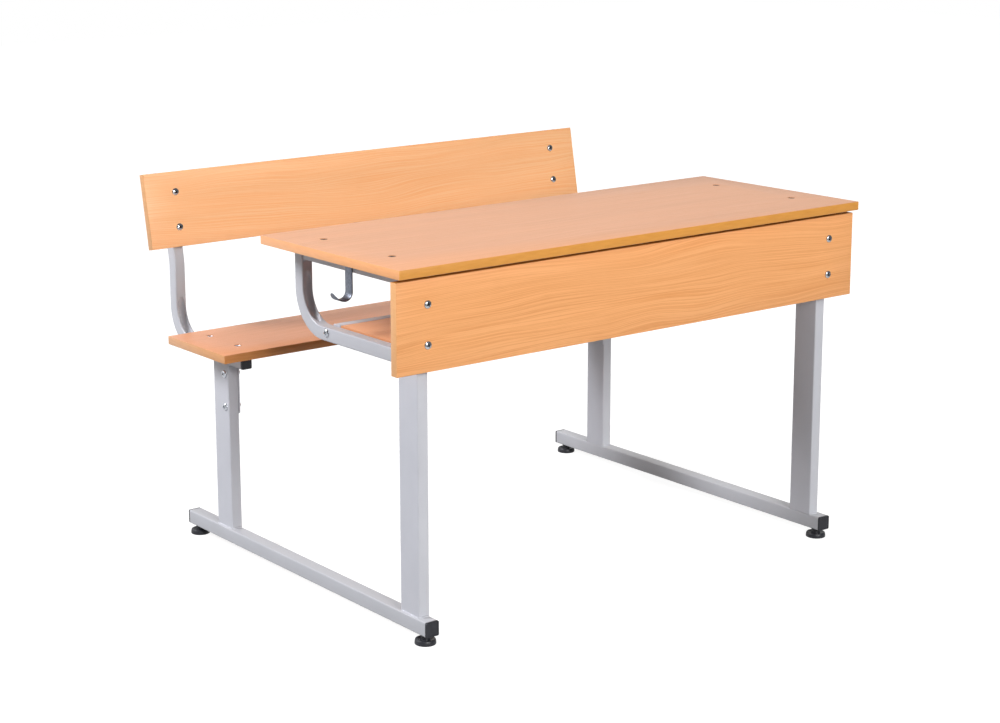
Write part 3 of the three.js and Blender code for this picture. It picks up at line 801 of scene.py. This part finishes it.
# %% [markdown]
# ## Bent tubes
# Round the book space and under the seat the frame tube is bent to a radius of 80 mm. The section
# is a rectangle with rounded corners, extruded along the straight stretches and spun through the
# bend. A curve with a bevel would be quicker, but its section could not change on the way, and
# the bend needs a groove. So the section's inner side is cut into many short edges.

# %% Bent tube section
BOW_DEPTH = 28 * MM
BOW_WIDTH = 25 * MM
BEND_RADIUS = 80 * MM
BEND_STEPS = 40
GROOVE_COLUMNS = 24


def start_section(name, place):
    """The tube's section as an open loop in the XZ plane, its inner side up."""
    clear_selection()
    bpy.ops.mesh.primitive_plane_add(size=1, location=place, rotation=TO_FRONT)
    piece = added(name, (BOW_WIDTH, BOW_DEPTH, 1))
    edit(piece, "VERT")
    bpy.ops.mesh.select_all(action="SELECT")
    bpy.ops.mesh.bevel(
        offset=TUBE_CORNER, segments=CORNER_STEPS, profile=ROUND, affect="VERTICES",
    )
    top = place[Z] + BOW_DEPTH / 2
    bpy.ops.mesh.select_mode(type="EDGE")
    pick(piece, "edges", lambda edge: (
        abs(way(edge).x) > LEVEL and abs(middle(edge).z - top) < CLOSE
    ))
    bpy.ops.mesh.subdivide(number_cuts=GROOVE_COLUMNS - 1)
    bpy.ops.mesh.select_mode(type="FACE")
    bpy.ops.mesh.select_all(action="SELECT")
    bpy.ops.mesh.delete(type="ONLY_FACE")
    bpy.ops.mesh.select_mode(type="EDGE")
    bpy.ops.mesh.select_all(action="SELECT")
    return piece


def draw_on(step, count=1):
    """Extrudes the selected end of the tube by a step, in equal parts."""
    for _ in range(count):
        bpy.ops.mesh.extrude_region_move(TRANSFORM_OT_translate={"value": Vector(step) / count})


def bend_up(centre, angle, steps):
    """Spins the selected end from lying towards +Y to standing up, about a centre."""
    bpy.ops.mesh.spin(steps=steps, angle=-angle, center=centre, axis=(1, 0, 0))


print("section helpers ready")

# %% [markdown]
# ## The groove in a bend
# A thin rectangular tube would crumple where it is bent, so the bender presses its inner wall into
# a groove. The vertices of that wall are moved: deepest in the bend, running out to a point above
# it and below, with small wrinkles across, as the squeezed steel has. Moving them one by one by a
# formula gives a smoother groove than any operator.

# %% Groove in the bend
GROOVE_DEPTH = 13 * MM
GROOVE_HALF = 9.3 * MM
GROOVE_END = math.radians(68)
GROOVE_ONSET = 0.6  # below 1, so the groove deepens quickly from its point
POINT_SHARE = 0.2  # of the full width, at the point
SPREAD = 1.4  # the width grows faster than the depth by this
WRINKLE_SHARE = 0.045
WRINKLE_REACH = 1.9 * MM  # for one radian of the wave, so a wrinkle is 12 mm long


def press_groove(piece, centre, lead):
    """Presses the inner wall in, from lead above the bend to 68 degrees round it."""
    inner = BEND_RADIUS - BOW_DEPTH / 2
    total = lead + BEND_RADIUS * GROOVE_END
    pressed = 0
    for vertex in piece.data.vertices:
        y, z = vertex.co.y - centre[Y], vertex.co.z - centre[Z]
        angle = math.atan2(-z, y) if z < 0 else 0.0
        reach = math.hypot(y, z) if z < 0 else y
        travelled = lead - z if z >= 0 else lead + BEND_RADIUS * angle
        share = travelled / total
        if abs(reach - inner) > CLOSE or not 0 < share < 1:
            continue
        press = math.sin(math.pi * share) ** GROOVE_ONSET
        half_width = GROOVE_HALF * (POINT_SHARE + (1 - POINT_SHARE) * min(1, SPREAD * press))
        across = abs(vertex.co.x - centre[X]) / half_width
        if across >= 1:
            continue
        wrinkle = 1 + WRINKLE_SHARE * math.sin(travelled / WRINKLE_REACH) * press
        # across, the groove has a round bottom and steep sides
        depth = GROOVE_DEPTH * press * wrinkle * (1 - across ** 3) ** 0.8
        vertex.co.y += depth * math.cos(angle)
        vertex.co.z -= depth * math.sin(angle)
        pressed += 1
    print("groove vertices:", pressed)
    return piece


print("groove helper ready")

# %% [markdown]
# ## Bow round the book space
# The tube runs back from the front leg under the books, turns up and ends under the desktop. The
# section is drawn on in short steps just above the bend, so that the groove can run out smoothly.

# %% Bow round the book space
BOOK_SPACE = 182 * MM  # from the desktop down to the underside of the bow
DESK_LEAD = 34 * MM
bow_low, bow_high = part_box("left_desk_bow")
run_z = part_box("left_top_rail")[1][Z] - BOOK_SPACE + BOW_DEPTH / 2
desk_centre = (frame_x, bow_high[Y] - BOW_DEPTH / 2 - BEND_RADIUS, run_z + BEND_RADIUS)
bow = start_section("left_desk_bow_tube", (frame_x, bow_low[Y], run_z))
draw_on((0, desk_centre[Y] - bow_low[Y], 0), 2)
bend_up(desk_centre, math.pi / 2, BEND_STEPS)
draw_on((0, 0, DESK_LEAD), 14)
draw_on((0, 0, bow_high[Z] - desk_centre[Z] - DESK_LEAD))
close(bow)
wall(press_groove(bow, desk_centre, DESK_LEAD))
print("desk bow bent")

# %% [markdown]
# ## Tabs under the shelf
# The shelf lies on two flat tabs on each bow. A tab is a plate with its free corners rounded. It
# starts inside the tube's wall and is joined to the bow, as the weld does.

# %% Tabs under the shelf
TAB_SHARES = (0.34, 0.78)  # of the shelf's depth
TAB_HALF = 12.5 * MM
TAB_THICKNESS = 3 * MM
TAB_CORNER = 4 * MM
tab_start = frame_x + BOW_WIDTH / 2 - 1 * MM
shelf_low, shelf_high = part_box("book_shelf")
tabs = []
for share in TAB_SHARES:
    y = shelf_low[Y] + (shelf_high[Y] - shelf_low[Y]) * share
    tab = block(
        "tab", (tab_start, y - TAB_HALF, shelf_low[Z] - TAB_THICKNESS),
        (bow_high[X], y + TAB_HALF, shelf_low[Z]),
    )
    round_edges(
        tab, lambda edge: abs(way(edge).z) > NEARLY and middle(edge).x > tab_start + CLOSE,
        TAB_CORNER, 4,
    )
    tabs.append(tab)
bow = smooth(join("left_desk_bow_tube", [bow, *tabs]))
pair(bow, "left_desk_bow", bent_grey_painted_shade)
print("desk bows ready, tabs on each:", len(tabs))

# %% [markdown]
# ## Bow under the seat and behind the backrest
# The second bow is the same tube with the same bend and groove. It runs back under the seat, turns
# up, and leans back above the bend by the backrest's 10.5 degrees, in a soft second bend.

# %% Seat bow
SEAT_LEAD = 18 * MM
LEAN_RISE = 132 * MM  # from the seat up to where the lean begins
LEAN_RADIUS = 90 * MM
UPRIGHT_LENGTH = 181 * MM
seat_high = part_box("seat_board")[1]
seat_bow_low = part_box("left_seat_bow")[0]
seat_run_z = seat_bow_low[Z] + BOW_DEPTH / 2
seat_centre = (frame_x, seat_high[Y], seat_run_z + BEND_RADIUS)
lean_z = seat_high[Z] + LEAN_RISE
bow = start_section("left_seat_bow_tube", (frame_x, seat_bow_low[Y], seat_run_z))
draw_on((0, seat_centre[Y] - seat_bow_low[Y], 0), 2)
bend_up(seat_centre, math.pi / 2, BEND_STEPS)
draw_on((0, 0, SEAT_LEAD), 8)
draw_on((0, 0, lean_z - seat_centre[Z] - SEAT_LEAD))
bend_up((frame_x, seat_centre[Y] + BEND_RADIUS + LEAN_RADIUS, lean_z), -LEAN, 8)
draw_on(back_up * UPRIGHT_LENGTH)
close(bow)
wall(press_groove(bow, seat_centre, SEAT_LEAD))
pair(smooth(bow), "left_seat_bow", bent_grey_painted_shade)
print("seat bows ready")

# %% [markdown]
# ## Seat bracket
# A flat plate is welded to the seat bow's inner side and bolted to the leg, so that the bench can
# be taken off. It is a block: the corners are rounded in the plane of the plate first, and then its
# edges are broken, which keeps the two radii apart.

# %% Seat bracket
PLATE_CORNER = 3 * MM
BROKEN_EDGE = 0.4 * MM
plate = block("left_seat_bracket_plate", *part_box("left_seat_bracket"))
round_edges(plate, lambda edge: abs(way(edge).x) > NEARLY, PLATE_CORNER, 4)
round_edges(plate, lambda edge: abs(way(edge).x) < HARDLY, BROKEN_EDGE, 2)
pair(smooth(plate), "left_seat_bracket", silver_grey)
print("brackets ready")

# %% [markdown]
# ## Tube plugs
# A moulded plug closes each open tube end. Its flange covers the tube's wall, with a low rounded
# frame round a flat middle, and its spigot, tapered at the tip, grips the inside of the tube. All
# of it comes from one block: the frame and the spigot are inset and extruded from its two faces.

# %% Tube plugs
FLANGE = 4.5 * MM
FLANGE_ROUND = 0.7 * MM
FRAME_WIDTH, FRAME_SLOPE, FRAME_HEIGHT = 1.6 * MM, 0.4 * MM, 0.6 * MM
SPIGOT, SPIGOT_TIP, SPIGOT_FIT = 8 * MM, 1 * MM, 0.3 * MM
TIP_SHARE = 0.9


def plug(name, width, depth, turn, place):
    corner = Vector((width / 2, depth / 2, 0))
    piece = block(name, -corner, corner + Vector((0, 0, FLANGE)))
    on_top = FLANGE - CLOSE
    round_edges(piece, lambda edge: abs(way(edge).z) > NEARLY, TUBE_CORNER, CORNER_STEPS)
    round_edges(
        piece, lambda edge: middle(edge).z > on_top and abs(way(edge).z) < HARDLY, FLANGE_ROUND, 3,
    )
    edit(piece, "FACE")
    pick(piece, "faces", lambda face: face.normal.z > LEVEL and middle(face).z > on_top)
    bpy.ops.mesh.inset(thickness=FRAME_WIDTH, depth=0)
    bpy.ops.mesh.inset(thickness=FRAME_SLOPE, depth=-FRAME_HEIGHT)
    pick(piece, "faces", lambda face: face.normal.z < -LEVEL)
    bpy.ops.mesh.inset(thickness=TUBE_WALL + SPIGOT_FIT, depth=0)
    draw_on((0, 0, -SPIGOT))
    draw_on((0, 0, -SPIGOT_TIP))
    bpy.ops.transform.resize(value=(TIP_SHARE, TIP_SHARE, 1))
    close(piece)
    return smooth(stand(piece, turn, place))


UPRIGHT_BEHIND = 23.3 * MM  # from the middle of the backrest to the middle of the upright
UPRIGHT_ABOVE = 73.3 * MM  # and up to its end
skid_x = (skid_low[X] + skid_high[X]) / 2
skid_z = (skid_low[Z] + skid_high[Z]) / 2
skid_size = skid_high[Z] - skid_low[Z]
upright_end = back_middle - back_out * UPRIGHT_BEHIND + back_up * UPRIGHT_ABOVE
upright_end.x = frame_x
for end, width, depth, turn, place in (
    ("skid_front", skid_size, skid_size, TO_FRONT, (skid_x, skid_low[Y], skid_z)),
    ("skid_rear", skid_size, skid_size, TO_REAR, (skid_x, skid_high[Y], skid_z)),
    ("seat_bow_front", BOW_WIDTH, BOW_DEPTH, TO_FRONT, (frame_x, seat_bow_low[Y], seat_run_z)),
    ("seat_bow_top", BOW_WIDTH, BOW_DEPTH, (-LEAN, 0, 0), upright_end),
):
    piece = plug(f"left_{end}_plug_moulding", width, depth, turn, place)
    pair(piece, f"left_{end}_plug", black_plastic)
print("plugs ready")

# %% [markdown]
# ## Bag hook
# A zinc-plated strip is screwed to the outer side of the top rail. It hangs down and curls
# outwards and up. The strip's section is extruded down, spun through a tight bend and then through
# a wider one, and its tip is narrowed, thinned and rounded, so that no bag is torn on it.

# %% Bag hook
STRIP_THICKNESS, STRIP_WIDTH, STRIP_DROP = 2.5 * MM, 23 * MM, 37 * MM
CURL_RADIUS, TIP_RADIUS = 16 * MM, 25 * MM
TIP_TURN = 72  # degrees
rail_low, rail_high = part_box("left_top_rail")
hook_y = box_middle("left_bag_hook").y
hook_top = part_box("left_bag_hook")[1][Z]
strip_x = rail_low[X] - STRIP_THICKNESS / 2
bend_z = rail_low[Z] - STRIP_DROP
curl_x = strip_x - CURL_RADIUS
tip_centre = (curl_x, 0, bend_z + TIP_RADIUS - CURL_RADIUS)
clear_selection()
bpy.ops.mesh.primitive_plane_add(size=1, location=(strip_x, hook_y, hook_top))
hook = added("left_bag_hook_strip", (STRIP_THICKNESS, STRIP_WIDTH, 1))
edit(hook, "FACE")
bpy.ops.mesh.select_all(action="SELECT")
draw_on((0, 0, bend_z - hook_top))
bpy.ops.mesh.spin(steps=14, angle=-math.pi / 2, center=(curl_x, 0, bend_z), axis=(0, 1, 0))
bpy.ops.mesh.spin(steps=24, angle=-math.radians(TIP_TURN), center=tip_centre, axis=(0, 1, 0))
close(hook)
print("hook curled")

# %% Tip of the hook
TAPER_START = 26  # degrees round the wide bend
TIP_THINNING = 0.7  # of the thickness, at the tip
TIP_NARROWING = 0.98  # 1 would close the tip to a point


def taper_tip(piece):
    """Narrows the end of the curl to a rounded tip and hammers it thinner."""
    for vertex in piece.data.vertices:
        x, z = vertex.co.x - tip_centre[X], vertex.co.z - tip_centre[Z]
        turned_by = math.degrees(math.atan2(-x, -z)) if x < 0 else 0
        share = min(1, max(0, turned_by - TAPER_START) / (TIP_TURN - TAPER_START))
        if not share:
            continue
        reach = math.hypot(x, z)
        thinner = TIP_RADIUS + (reach - TIP_RADIUS) * (1 - TIP_THINNING * share)
        vertex.co.x = tip_centre[X] + x * thinner / reach
        vertex.co.z = tip_centre[Z] + z * thinner / reach
        narrowed = math.sqrt(1 - TIP_NARROWING * share ** 2)
        vertex.co.y = hook_y + (vertex.co.y - hook_y) * narrowed


taper_tip(hook)
only(hook)
soften = hook.modifiers.new("soften", "BEVEL")
soften.width = BROKEN_EDGE
soften.segments = 2
soften.limit_method = "ANGLE"
soften.angle_limit = math.radians(50)
bpy.ops.object.modifier_apply(modifier=soften.name)
print("hook strip ready")

# %% [markdown]
# ## Screws and bolts
# The domed screws and the bolts have a low round head with a cross recess, the flush screws a
# countersunk head. Each is turned once, gets its recess cut by two tapered blades, and is copied
# to all its places. The threads are rings rather than a helix, since next to none stays in sight.

# %% Screws
BLADE_TAPER = (0.45, 0.6, 1)  # of its length, width and height, at the recess's bottom
RECESS_TURN = 20  # degrees, since a screw seldom stops square to the board
THREAD_DEPTH = 0.5
RIM_SHARE = 0.22  # of a dome's height
DOME_STEP = 12  # degrees
SCREW_STEPS = 40


def cross_recess(piece, top, length, width, depth):
    """Cuts a cross into the head, wider at top than bottom, and marks its walls for painted shade.
    """
    top, length, width, depth = top * MM, length * MM, width * MM, depth * MM
    for turn in (0, 90):
        # the blade stands out of the head by 2 mm
        blade = block(
            "blade", (-length / 2, -width / 2, top - depth), (length / 2, width / 2, top + 2 * MM),
        )
        edit(blade, "VERT")
        pick(blade, "verts", lambda vertex: vertex.co.z < top)
        bpy.ops.transform.resize(value=BLADE_TAPER, center_override=(0, 0, top - depth))
        close(blade)
        cut(piece, stand(blade, (0, 0, math.radians(turn + RECESS_TURN)), (0, 0, 0)))
    # the recess walls take the second slot, the zinc that is dark as painted shade
    for face in piece.data.polygons:
        x, y, z = face.center
        if math.hypot(x, y) < (length + MM) / 2 and top - depth - CLOSE < z < top - MM:
            face.material_index = 1
    return piece


def plated(piece, plating):
    """Plates a screw: bright outside, dark inside the recess as painted shade."""
    piece.data.materials.append(plating)
    piece.data.materials.append(recess_painted_shade_zinc)
    return piece


def thread(length, radius, start=0, pitch=1.6):
    """Half the section of a thread, from a blunt tip up to the start below the head."""
    core = radius - THREAD_DEPTH
    # the last 2 mm taper to the tip
    points = [(0, -length), (radius * 0.4, -length + 0.4), (core, -length + 2)]
    height = -length + 2
    while height + pitch < -start:
        points += [(radius, height + pitch / 2), (core, height + pitch)]
        height += pitch
    return points + [(radius, -start)]


def dome(radius, height):
    """A low dome over a short cylindrical rim."""
    rim = height * RIM_SHARE
    points = [(radius, 0), (radius, rim)]
    for angle in range(DOME_STEP, 90, DOME_STEP):
        a = math.radians(angle)
        points.append((radius * math.cos(a), rim + (height - rim) * math.sin(a)))
    return points + [(0, height)]


FLUSH_HEAD = [(7.8, -0.5), (8, -0.2), (7.8, 0), (0, 0)]
domed_screw = turned("domed_screw", thread(30, 3) + dome(8, 4.2), SCREW_STEPS)
cross_recess(domed_screw, top=3.9, length=10.6, width=2.9, depth=3.2)
flush_screw = turned("flush_screw", thread(30, 3, start=4.6) + FLUSH_HEAD, SCREW_STEPS)
cross_recess(flush_screw, top=0, length=10, width=2.7, depth=3)
print("screws turned")

# %% Screws in their places
FLUSH_SINK = 1 * MM


def put(model, name, turn, place):
    """A copy of the model, turned and put in its place."""
    copy = twin(model, name, Matrix.Identity(4))
    return smooth(stand(copy, turn, place), 30)


def put_domed(solid, turn, place):
    screw = put(domed_screw, solid + "_domed", turn, place)
    finish_piece(plated(screw, bright_zinc), solid)


for solid, place in flush_places.items():
    screw = put(flush_screw, solid + "_flush", UP, place - Vector((0, 0, FLUSH_SINK)))
    # the desktop's screws take the zinc darkened as painted shade
    zinc = desktop_painted_shade_zinc if "desktop" in solid else bright_zinc
    finish_piece(plated(screw, zinc), solid)
for solid, place in domed_places.items():
    put_domed(solid, TO_FRONT, place)
for side, x in zip(SIDES, (frame_x, -frame_x)):
    for level, share in BACKREST_SCREWS.items():
        place = back_middle + back_up * (share - 0.5) * BACKREST_HEIGHT
        place += back_out * BOARD_THICKNESS / 2
        place.x = x
        put_domed(f"{side}_backrest_screw_{level}", (math.radians(90) - LEAN, 0, 0), place)
for model in (domed_screw, flush_screw):
    bpy.data.objects.remove(model)
print("screws placed")

# %% Bolts with their nuts
NUT_HEIGHT = 6.5
for solid, length, nut_seat in (
    ("left_bracket_bolt_upper", 36, 28), ("left_bracket_bolt_lower", 36, 28),
    ("left_shelf_rail_bolt", 40, None),
):
    bolt = turned("bolt", thread(length, 4) + dome(8.4, 4.4), SCREW_STEPS)
    parts = [cross_recess(bolt, top=4.1, length=10.8, width=3, depth=3.3)]
    if nut_seat:
        nut = hex_nut("nut", radius=7.5, height=NUT_HEIGHT, bore=3.6)
        parts.append(stand(nut, UP, (0, 0, -(nut_seat + NUT_HEIGHT) * MM)))
    bolt = join(solid + "_turned", parts)
    _, y, z = box_middle(solid)
    stand(bolt, TO_LEFT, (rail_low[X], y, z))
    pair(plated(smooth(bolt, 30), bright_zinc), solid, None)
print("bolts placed")

# %% Screw of the hook
HOOK_SCREW_HEIGHT = 15 * MM  # above the rail's lower edge
small_screw = turned("small_screw", [(0, -6), (2, -6), (2, 0)] + dome(4, 2.2))
cross_recess(small_screw, top=2, length=4, width=1, depth=1.2)
head_place = (rail_low[X] - STRIP_THICKNESS, hook_y, rail_low[Z] + HOOK_SCREW_HEIGHT)
stand(small_screw, TO_LEFT, head_place)
hook = smooth(join("left_bag_hook_strip", [hook, small_screw]), 30)
# the hook takes the zinc darkened as painted shade
pair(hook, "left_bag_hook", hook_painted_shade_zinc)
print("hooks placed")

# %% [markdown]
# ## Levelling feet
# Each foot is a moulded pad that swivels on a threaded stud. The pad's profile has a thick rounded
# rim and a dish round its hub, which looks like a dark ring from above. The stud has a collar in
# the pad and, as it shows when the foot is screwed out, a real helical thread: one tooth is
# screwed round the rod by the Screw modifier.

# %% Levelling feet
# radius and height in millimetres above the floor
PAD = [
    (0, 0), (19.6, 0), (20.7, 0.5), (21, 1.6), (20.8, 5.5), (20, 8.9), (19.2, 10), (18, 10.5),
    (16.8, 10.3), (13.4, 8.6), (11, 8.1), (9.6, 8.6), (9.1, 10), (9, 18.7), (8.4, 19.6),
    (7.6, 19.7), (5.1, 19.7), (5.1, 8.2), (7.6, 8.2), (7.6, 5), (0, 5),
]
ROD = [
    (0, 5.1), (7.1, 5.1), (7.5, 5.5), (7.5, 7.7), (7.1, 8.1), (4.2, 8.1), (4.2, 44.2),
    (3.4, 45.1), (0, 45.1),
]
TOOTH = [(5, 0.75), (4, 1.3), (4, 0.2)]  # its height is above the thread's start
THREAD_START = 8.3
THREAD_PITCH = 1.5
THREAD_TURNS = 24


def screwed_tooth():
    """A closed triangular tooth, screwed up the rod."""
    clear_selection()
    bpy.ops.mesh.primitive_circle_add(vertices=len(TOOTH), radius=MM, fill_type="NOTHING")
    tooth = added("tooth")
    for vertex, (radius, height) in zip(tooth.data.vertices, TOOTH):
        vertex.co = (radius * MM, 0, (THREAD_START + height) * MM)
    screw = tooth.modifiers.new("screw", "SCREW")
    screw.screw_offset = THREAD_PITCH * MM
    screw.iterations = THREAD_TURNS
    screw.steps = screw.render_steps = 20
    only(tooth)
    bpy.ops.object.modifier_apply(modifier=screw.name)
    edit(tooth, "EDGE")
    bpy.ops.mesh.select_non_manifold()
    bpy.ops.mesh.edge_face_add()
    return close(tooth)


pad_model = turned("pad", PAD, 48)
stud_model = join("stud", [turned("stud", ROD), screwed_tooth()])
for end in ENDS:
    foot = box_middle(f"left_{end}_foot_stud")
    place = Vector((foot.x, foot.y, 0))
    pad = put(pad_model, f"left_{end}_foot_pad_moulding", UP, place)
    pair(pad, f"left_{end}_foot_pad", black_plastic, f"left_{end}_foot_pad_body")
    stud = put(stud_model, f"left_{end}_foot_stud_rod", UP, place)
    pair(stud, f"left_{end}_foot_stud", bright_zinc, f"left_{end}_foot_stud_body")
for model in (pad_model, stud_model):
    bpy.data.objects.remove(model)
print("feet ready")

# %% [markdown]
# ## Weld beads
# The tubes are joined by short fillet welds under the powder coat. A bead is a thin bar cut into
# many rings, whose rings are swollen and pinched in turn like the ripples that the torch leaves.

# %% Weld beads
RING_STEP = 0.6 * MM
RIPPLE, RIPPLE_REACH = 0.13, 0.55 * MM  # for one radian, so a ripple is 3.5 mm long
SWELL, SWELL_REACH = 0.05, 1.7 * MM  # and a swell 11 mm
BLUNT = 0.05  # keeps the ends of a bead from closing to a point


def weld(start, end, radius):
    """A rippled bead from one point to another, with rounded ends."""
    start, end, radius = Vector(start), Vector(end), radius * MM
    line = end - start
    clear_selection()
    bpy.ops.mesh.primitive_cylinder_add(vertices=12, radius=radius, depth=line.length)
    bead = added("bead")
    edit(bead, "EDGE")
    pick(bead, "edges", lambda edge: abs(way(edge).z) > NEARLY)
    bpy.ops.mesh.subdivide(number_cuts=max(8, int(line.length / RING_STEP)))
    bpy.ops.object.mode_set(mode="OBJECT")
    for vertex in bead.data.vertices:
        z = vertex.co.z
        from_end = (line.length / 2 - abs(z)) / radius
        end_round = math.sqrt(max(BLUNT, 1 - max(0, 1 - from_end) ** 2))
        ripple = 1 + RIPPLE * math.sin(z / RIPPLE_REACH) + SWELL * math.sin(z / SWELL_REACH)
        vertex.co.x *= end_round * ripple
        vertex.co.y *= end_round * ripple
    return stand(bead, line.to_track_quat("Z", "Y").to_euler(), (start + end) / 2)


print("welder ready")

# %% Welds of the left frame
leg_low, leg_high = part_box("left_front_leg")
rear_low, rear_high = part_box("left_rear_leg")
# the beads stop short of the tube's rounded corners
seam_start, seam_end = leg_low[X] + 2.5 * MM, leg_high[X] - 2.5 * MM
corner_y = rail_high[Y]


def weld_across(y, z, radius):
    """A bead across the width of the tube."""
    return weld((seam_start, y, z), (seam_end, y, z), radius)


beads = [
    weld_across(y, skid_high[Z], 3.2) for y in (leg_low[Y], leg_high[Y], rear_low[Y], rear_high[Y])
]
for low, high in ((leg_low, leg_high), (rear_low, rear_high)):
    start, end = low[Y] + 3 * MM, high[Y] - 3 * MM
    beads.append(weld((low[X], start, skid_high[Z]), (low[X], end, skid_high[Z]), 2))
for z in (run_z - BOW_DEPTH / 2, run_z + BOW_DEPTH / 2, rail_low[Z]):
    beads.append(weld_across(leg_high[Y], z, 2.2))
beads.append(weld_across(corner_y, rail_low[Z], 3.2))
beads.append(weld(
    (rail_low[X], corner_y, rail_low[Z] - 1 * MM), (rail_low[X], corner_y, rail_high[Z] - 6 * MM),
    2.6,
))
for y in (rear_low[Y], rear_high[Y]):
    beads.append(weld_across(y, rear_high[Z], 2.2))
print("beads on each frame:", len(beads))
pair(smooth(join("left_weld_beads", beads), 60), None, silver_grey)

# %% [markdown]
# ## Floor
# A pale floor carries the shadow. It is laid in four quarters, one under each foot, and each rides
# on the pad that stands on it: a foot that is screwed out pushes its quarter down instead of
# sinking into it. The floor is grey paint with a white glow. The camera sees the glow, so the
# background is white. A shiny face mirrors it too, bright behind the desk and dim in front of it,
# which keeps the tubes' faces apart. Other rays don't see the glow, so it lights nothing.

# %% Floor
QUARTER = 12  # metres
material, tree, place = new_material("pale_floor")
paint = node(tree, "ShaderNodeBsdfDiffuse", {"Color": colour("#8E8E8E")})
apart = node(tree, "ShaderNodeSeparateXYZ", {}, {"Vector": place})
reach = node(tree, "ShaderNodeVectorMath", {}, {0: place}, operation="LENGTH").outputs["Value"]
# what the camera sees, from close to the desk to far off
level = node(
    tree, "ShaderNodeMapRange", {"From Min": 0.8, "From Max": 3.2, "To Min": 0.9, "To Max": 1},
    {"Value": reach},
)
# what is mirrored: bright behind the desk, dim in front of it, and brighter just under it
behind = node(
    tree, "ShaderNodeMapRange", {"From Min": 0.2, "From Max": 1.4, "To Min": 0.08, "To Max": 1},
    {"Value": apart.outputs["Y"]},
)
under = node(
    tree, "ShaderNodeMapRange", {"From Min": 1.3, "From Max": 2.2, "To Min": 0.6, "To Max": 0.08},
    {"Value": reach},
)
mirrored = node(tree, "ShaderNodeMath", {}, {0: behind, 1: under}, operation="MAXIMUM")
rays = node(tree, "ShaderNodeLightPath")
glossy = rays.outputs["Is Glossy Ray"]
strength = node(
    tree, "ShaderNodeMix", {}, {NUMBER_A: level, NUMBER_B: mirrored, MIX_SHARE: glossy},
    data_type="FLOAT",
)
glow = node(tree, "ShaderNodeEmission", {"Color": (1, 1, 1, 1)}, {"Strength": strength})
shown = node(
    tree, "ShaderNodeMath", {}, {0: rays.outputs["Is Camera Ray"], 1: glossy},
    operation="MAXIMUM",
)
glowing = node(tree, "ShaderNodeAddShader", {}, {0: paint, 1: glow})
seen = node(tree, "ShaderNodeMixShader", {}, {"Fac": shown, 1: paint, 2: glowing})
node(tree, "ShaderNodeOutputMaterial", {}, {"Surface": seen})
for side, x in zip(SIDES, (-QUARTER / 2, QUARTER / 2)):
    for end, y in zip(ENDS, (-QUARTER / 2, QUARTER / 2)):
        clear_selection()
        bpy.ops.mesh.primitive_plane_add(size=QUARTER, location=(x, y, 0))
        quarter = added(f"floor_{side}_{end}")
        quarter.data.materials.append(material)
        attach(quarter, f"{side}_{end}_foot_pad_body")
print("floor ready")

# %% [markdown]
# ## Sky
# The sky is white for the camera and gives almost no light, so the lamps alone model the form. In
# reflections it is white behind the desk and grey in front, which keeps the tubes' faces apart.

# %% Sky
sky = bpy.data.worlds.new("sky")
bpy.context.scene.world = sky
sky.use_nodes = True
tree = sky.node_tree
tree.nodes.clear()
rays = node(tree, "ShaderNodeLightPath")
seen = node(
    tree, "ShaderNodeMath", {},
    {0: rays.outputs["Is Camera Ray"], 1: rays.outputs["Is Transmission Ray"]},
    operation="MAXIMUM",
)
level = node(tree, "ShaderNodeMapRange", {"To Min": 0.05, "To Max": 1}, {"Value": seen})
heading = node(tree, "ShaderNodeTexCoord").outputs["Object"]
apart = node(tree, "ShaderNodeSeparateXYZ", {}, {"Vector": heading})
backdrop = node(
    tree, "ShaderNodeMapRange", {"From Min": 0.15, "From Max": 0.45, "To Min": 0.2, "To Max": 1},
    {"Value": apart.outputs["Y"]},
)
strength = node(
    tree, "ShaderNodeMix", {},
    {NUMBER_A: level, NUMBER_B: backdrop, MIX_SHARE: rays.outputs["Is Glossy Ray"]},
    data_type="FLOAT",
)
shine = node(tree, "ShaderNodeBackground", {"Color": (1, 1, 1, 1)}, {"Strength": strength})
node(tree, "ShaderNodeOutputWorld", {}, {"Surface": shine})
print("sky ready")

# %% [markdown]
# ## Lamps
# Three large soft lamps stand far off, so that light falls evenly along the desk. The main one is
# on the left and a little behind: it lights the tops and the left faces. A low one almost straight
# in front lights the panel but leaves the inner walls of the bows dark. A weak one on the right
# lifts the shadows and isn't mirrored.

# %% Lamps
AIM_HEIGHT = 0.45  # a little above the middle of the desk


def soft_lamp(name, bearing, height, distance, size, power, tint):
    """A square lamp that looks at the desk: bearing is from -Y towards -X, height above level."""
    bearing, height = math.radians(bearing), math.radians(height)
    away = Vector((
        -math.sin(bearing) * math.cos(height), -math.cos(bearing) * math.cos(height),
        math.sin(height),
    ))
    light = bpy.data.lights.new(name, "AREA")
    light.shape = "SQUARE"
    light.size = size
    light.energy = power
    light.color = colour(tint)[:3]
    lamp = bpy.data.objects.new(name, light)
    bpy.context.collection.objects.link(lamp)
    lamp.location = Vector((0, 0, AIM_HEIGHT)) + away * distance
    lamp.rotation_euler = (-away).to_track_quat("-Z", "Y").to_euler()
    return lamp


lamps = [
    soft_lamp("left_lamp", 115, 39, distance=7.0, size=2.6, power=515, tint="#FAFBFF"),
    soft_lamp("right_lamp", -32, 34, distance=8.0, size=3.6, power=160, tint="#FFFFFA"),
    soft_lamp("front_lamp", 10, 20, distance=9.0, size=2.8, power=570, tint="#FFFFFF"),
]
lamps[1].visible_glossy = False
print("lamps:", len(lamps))
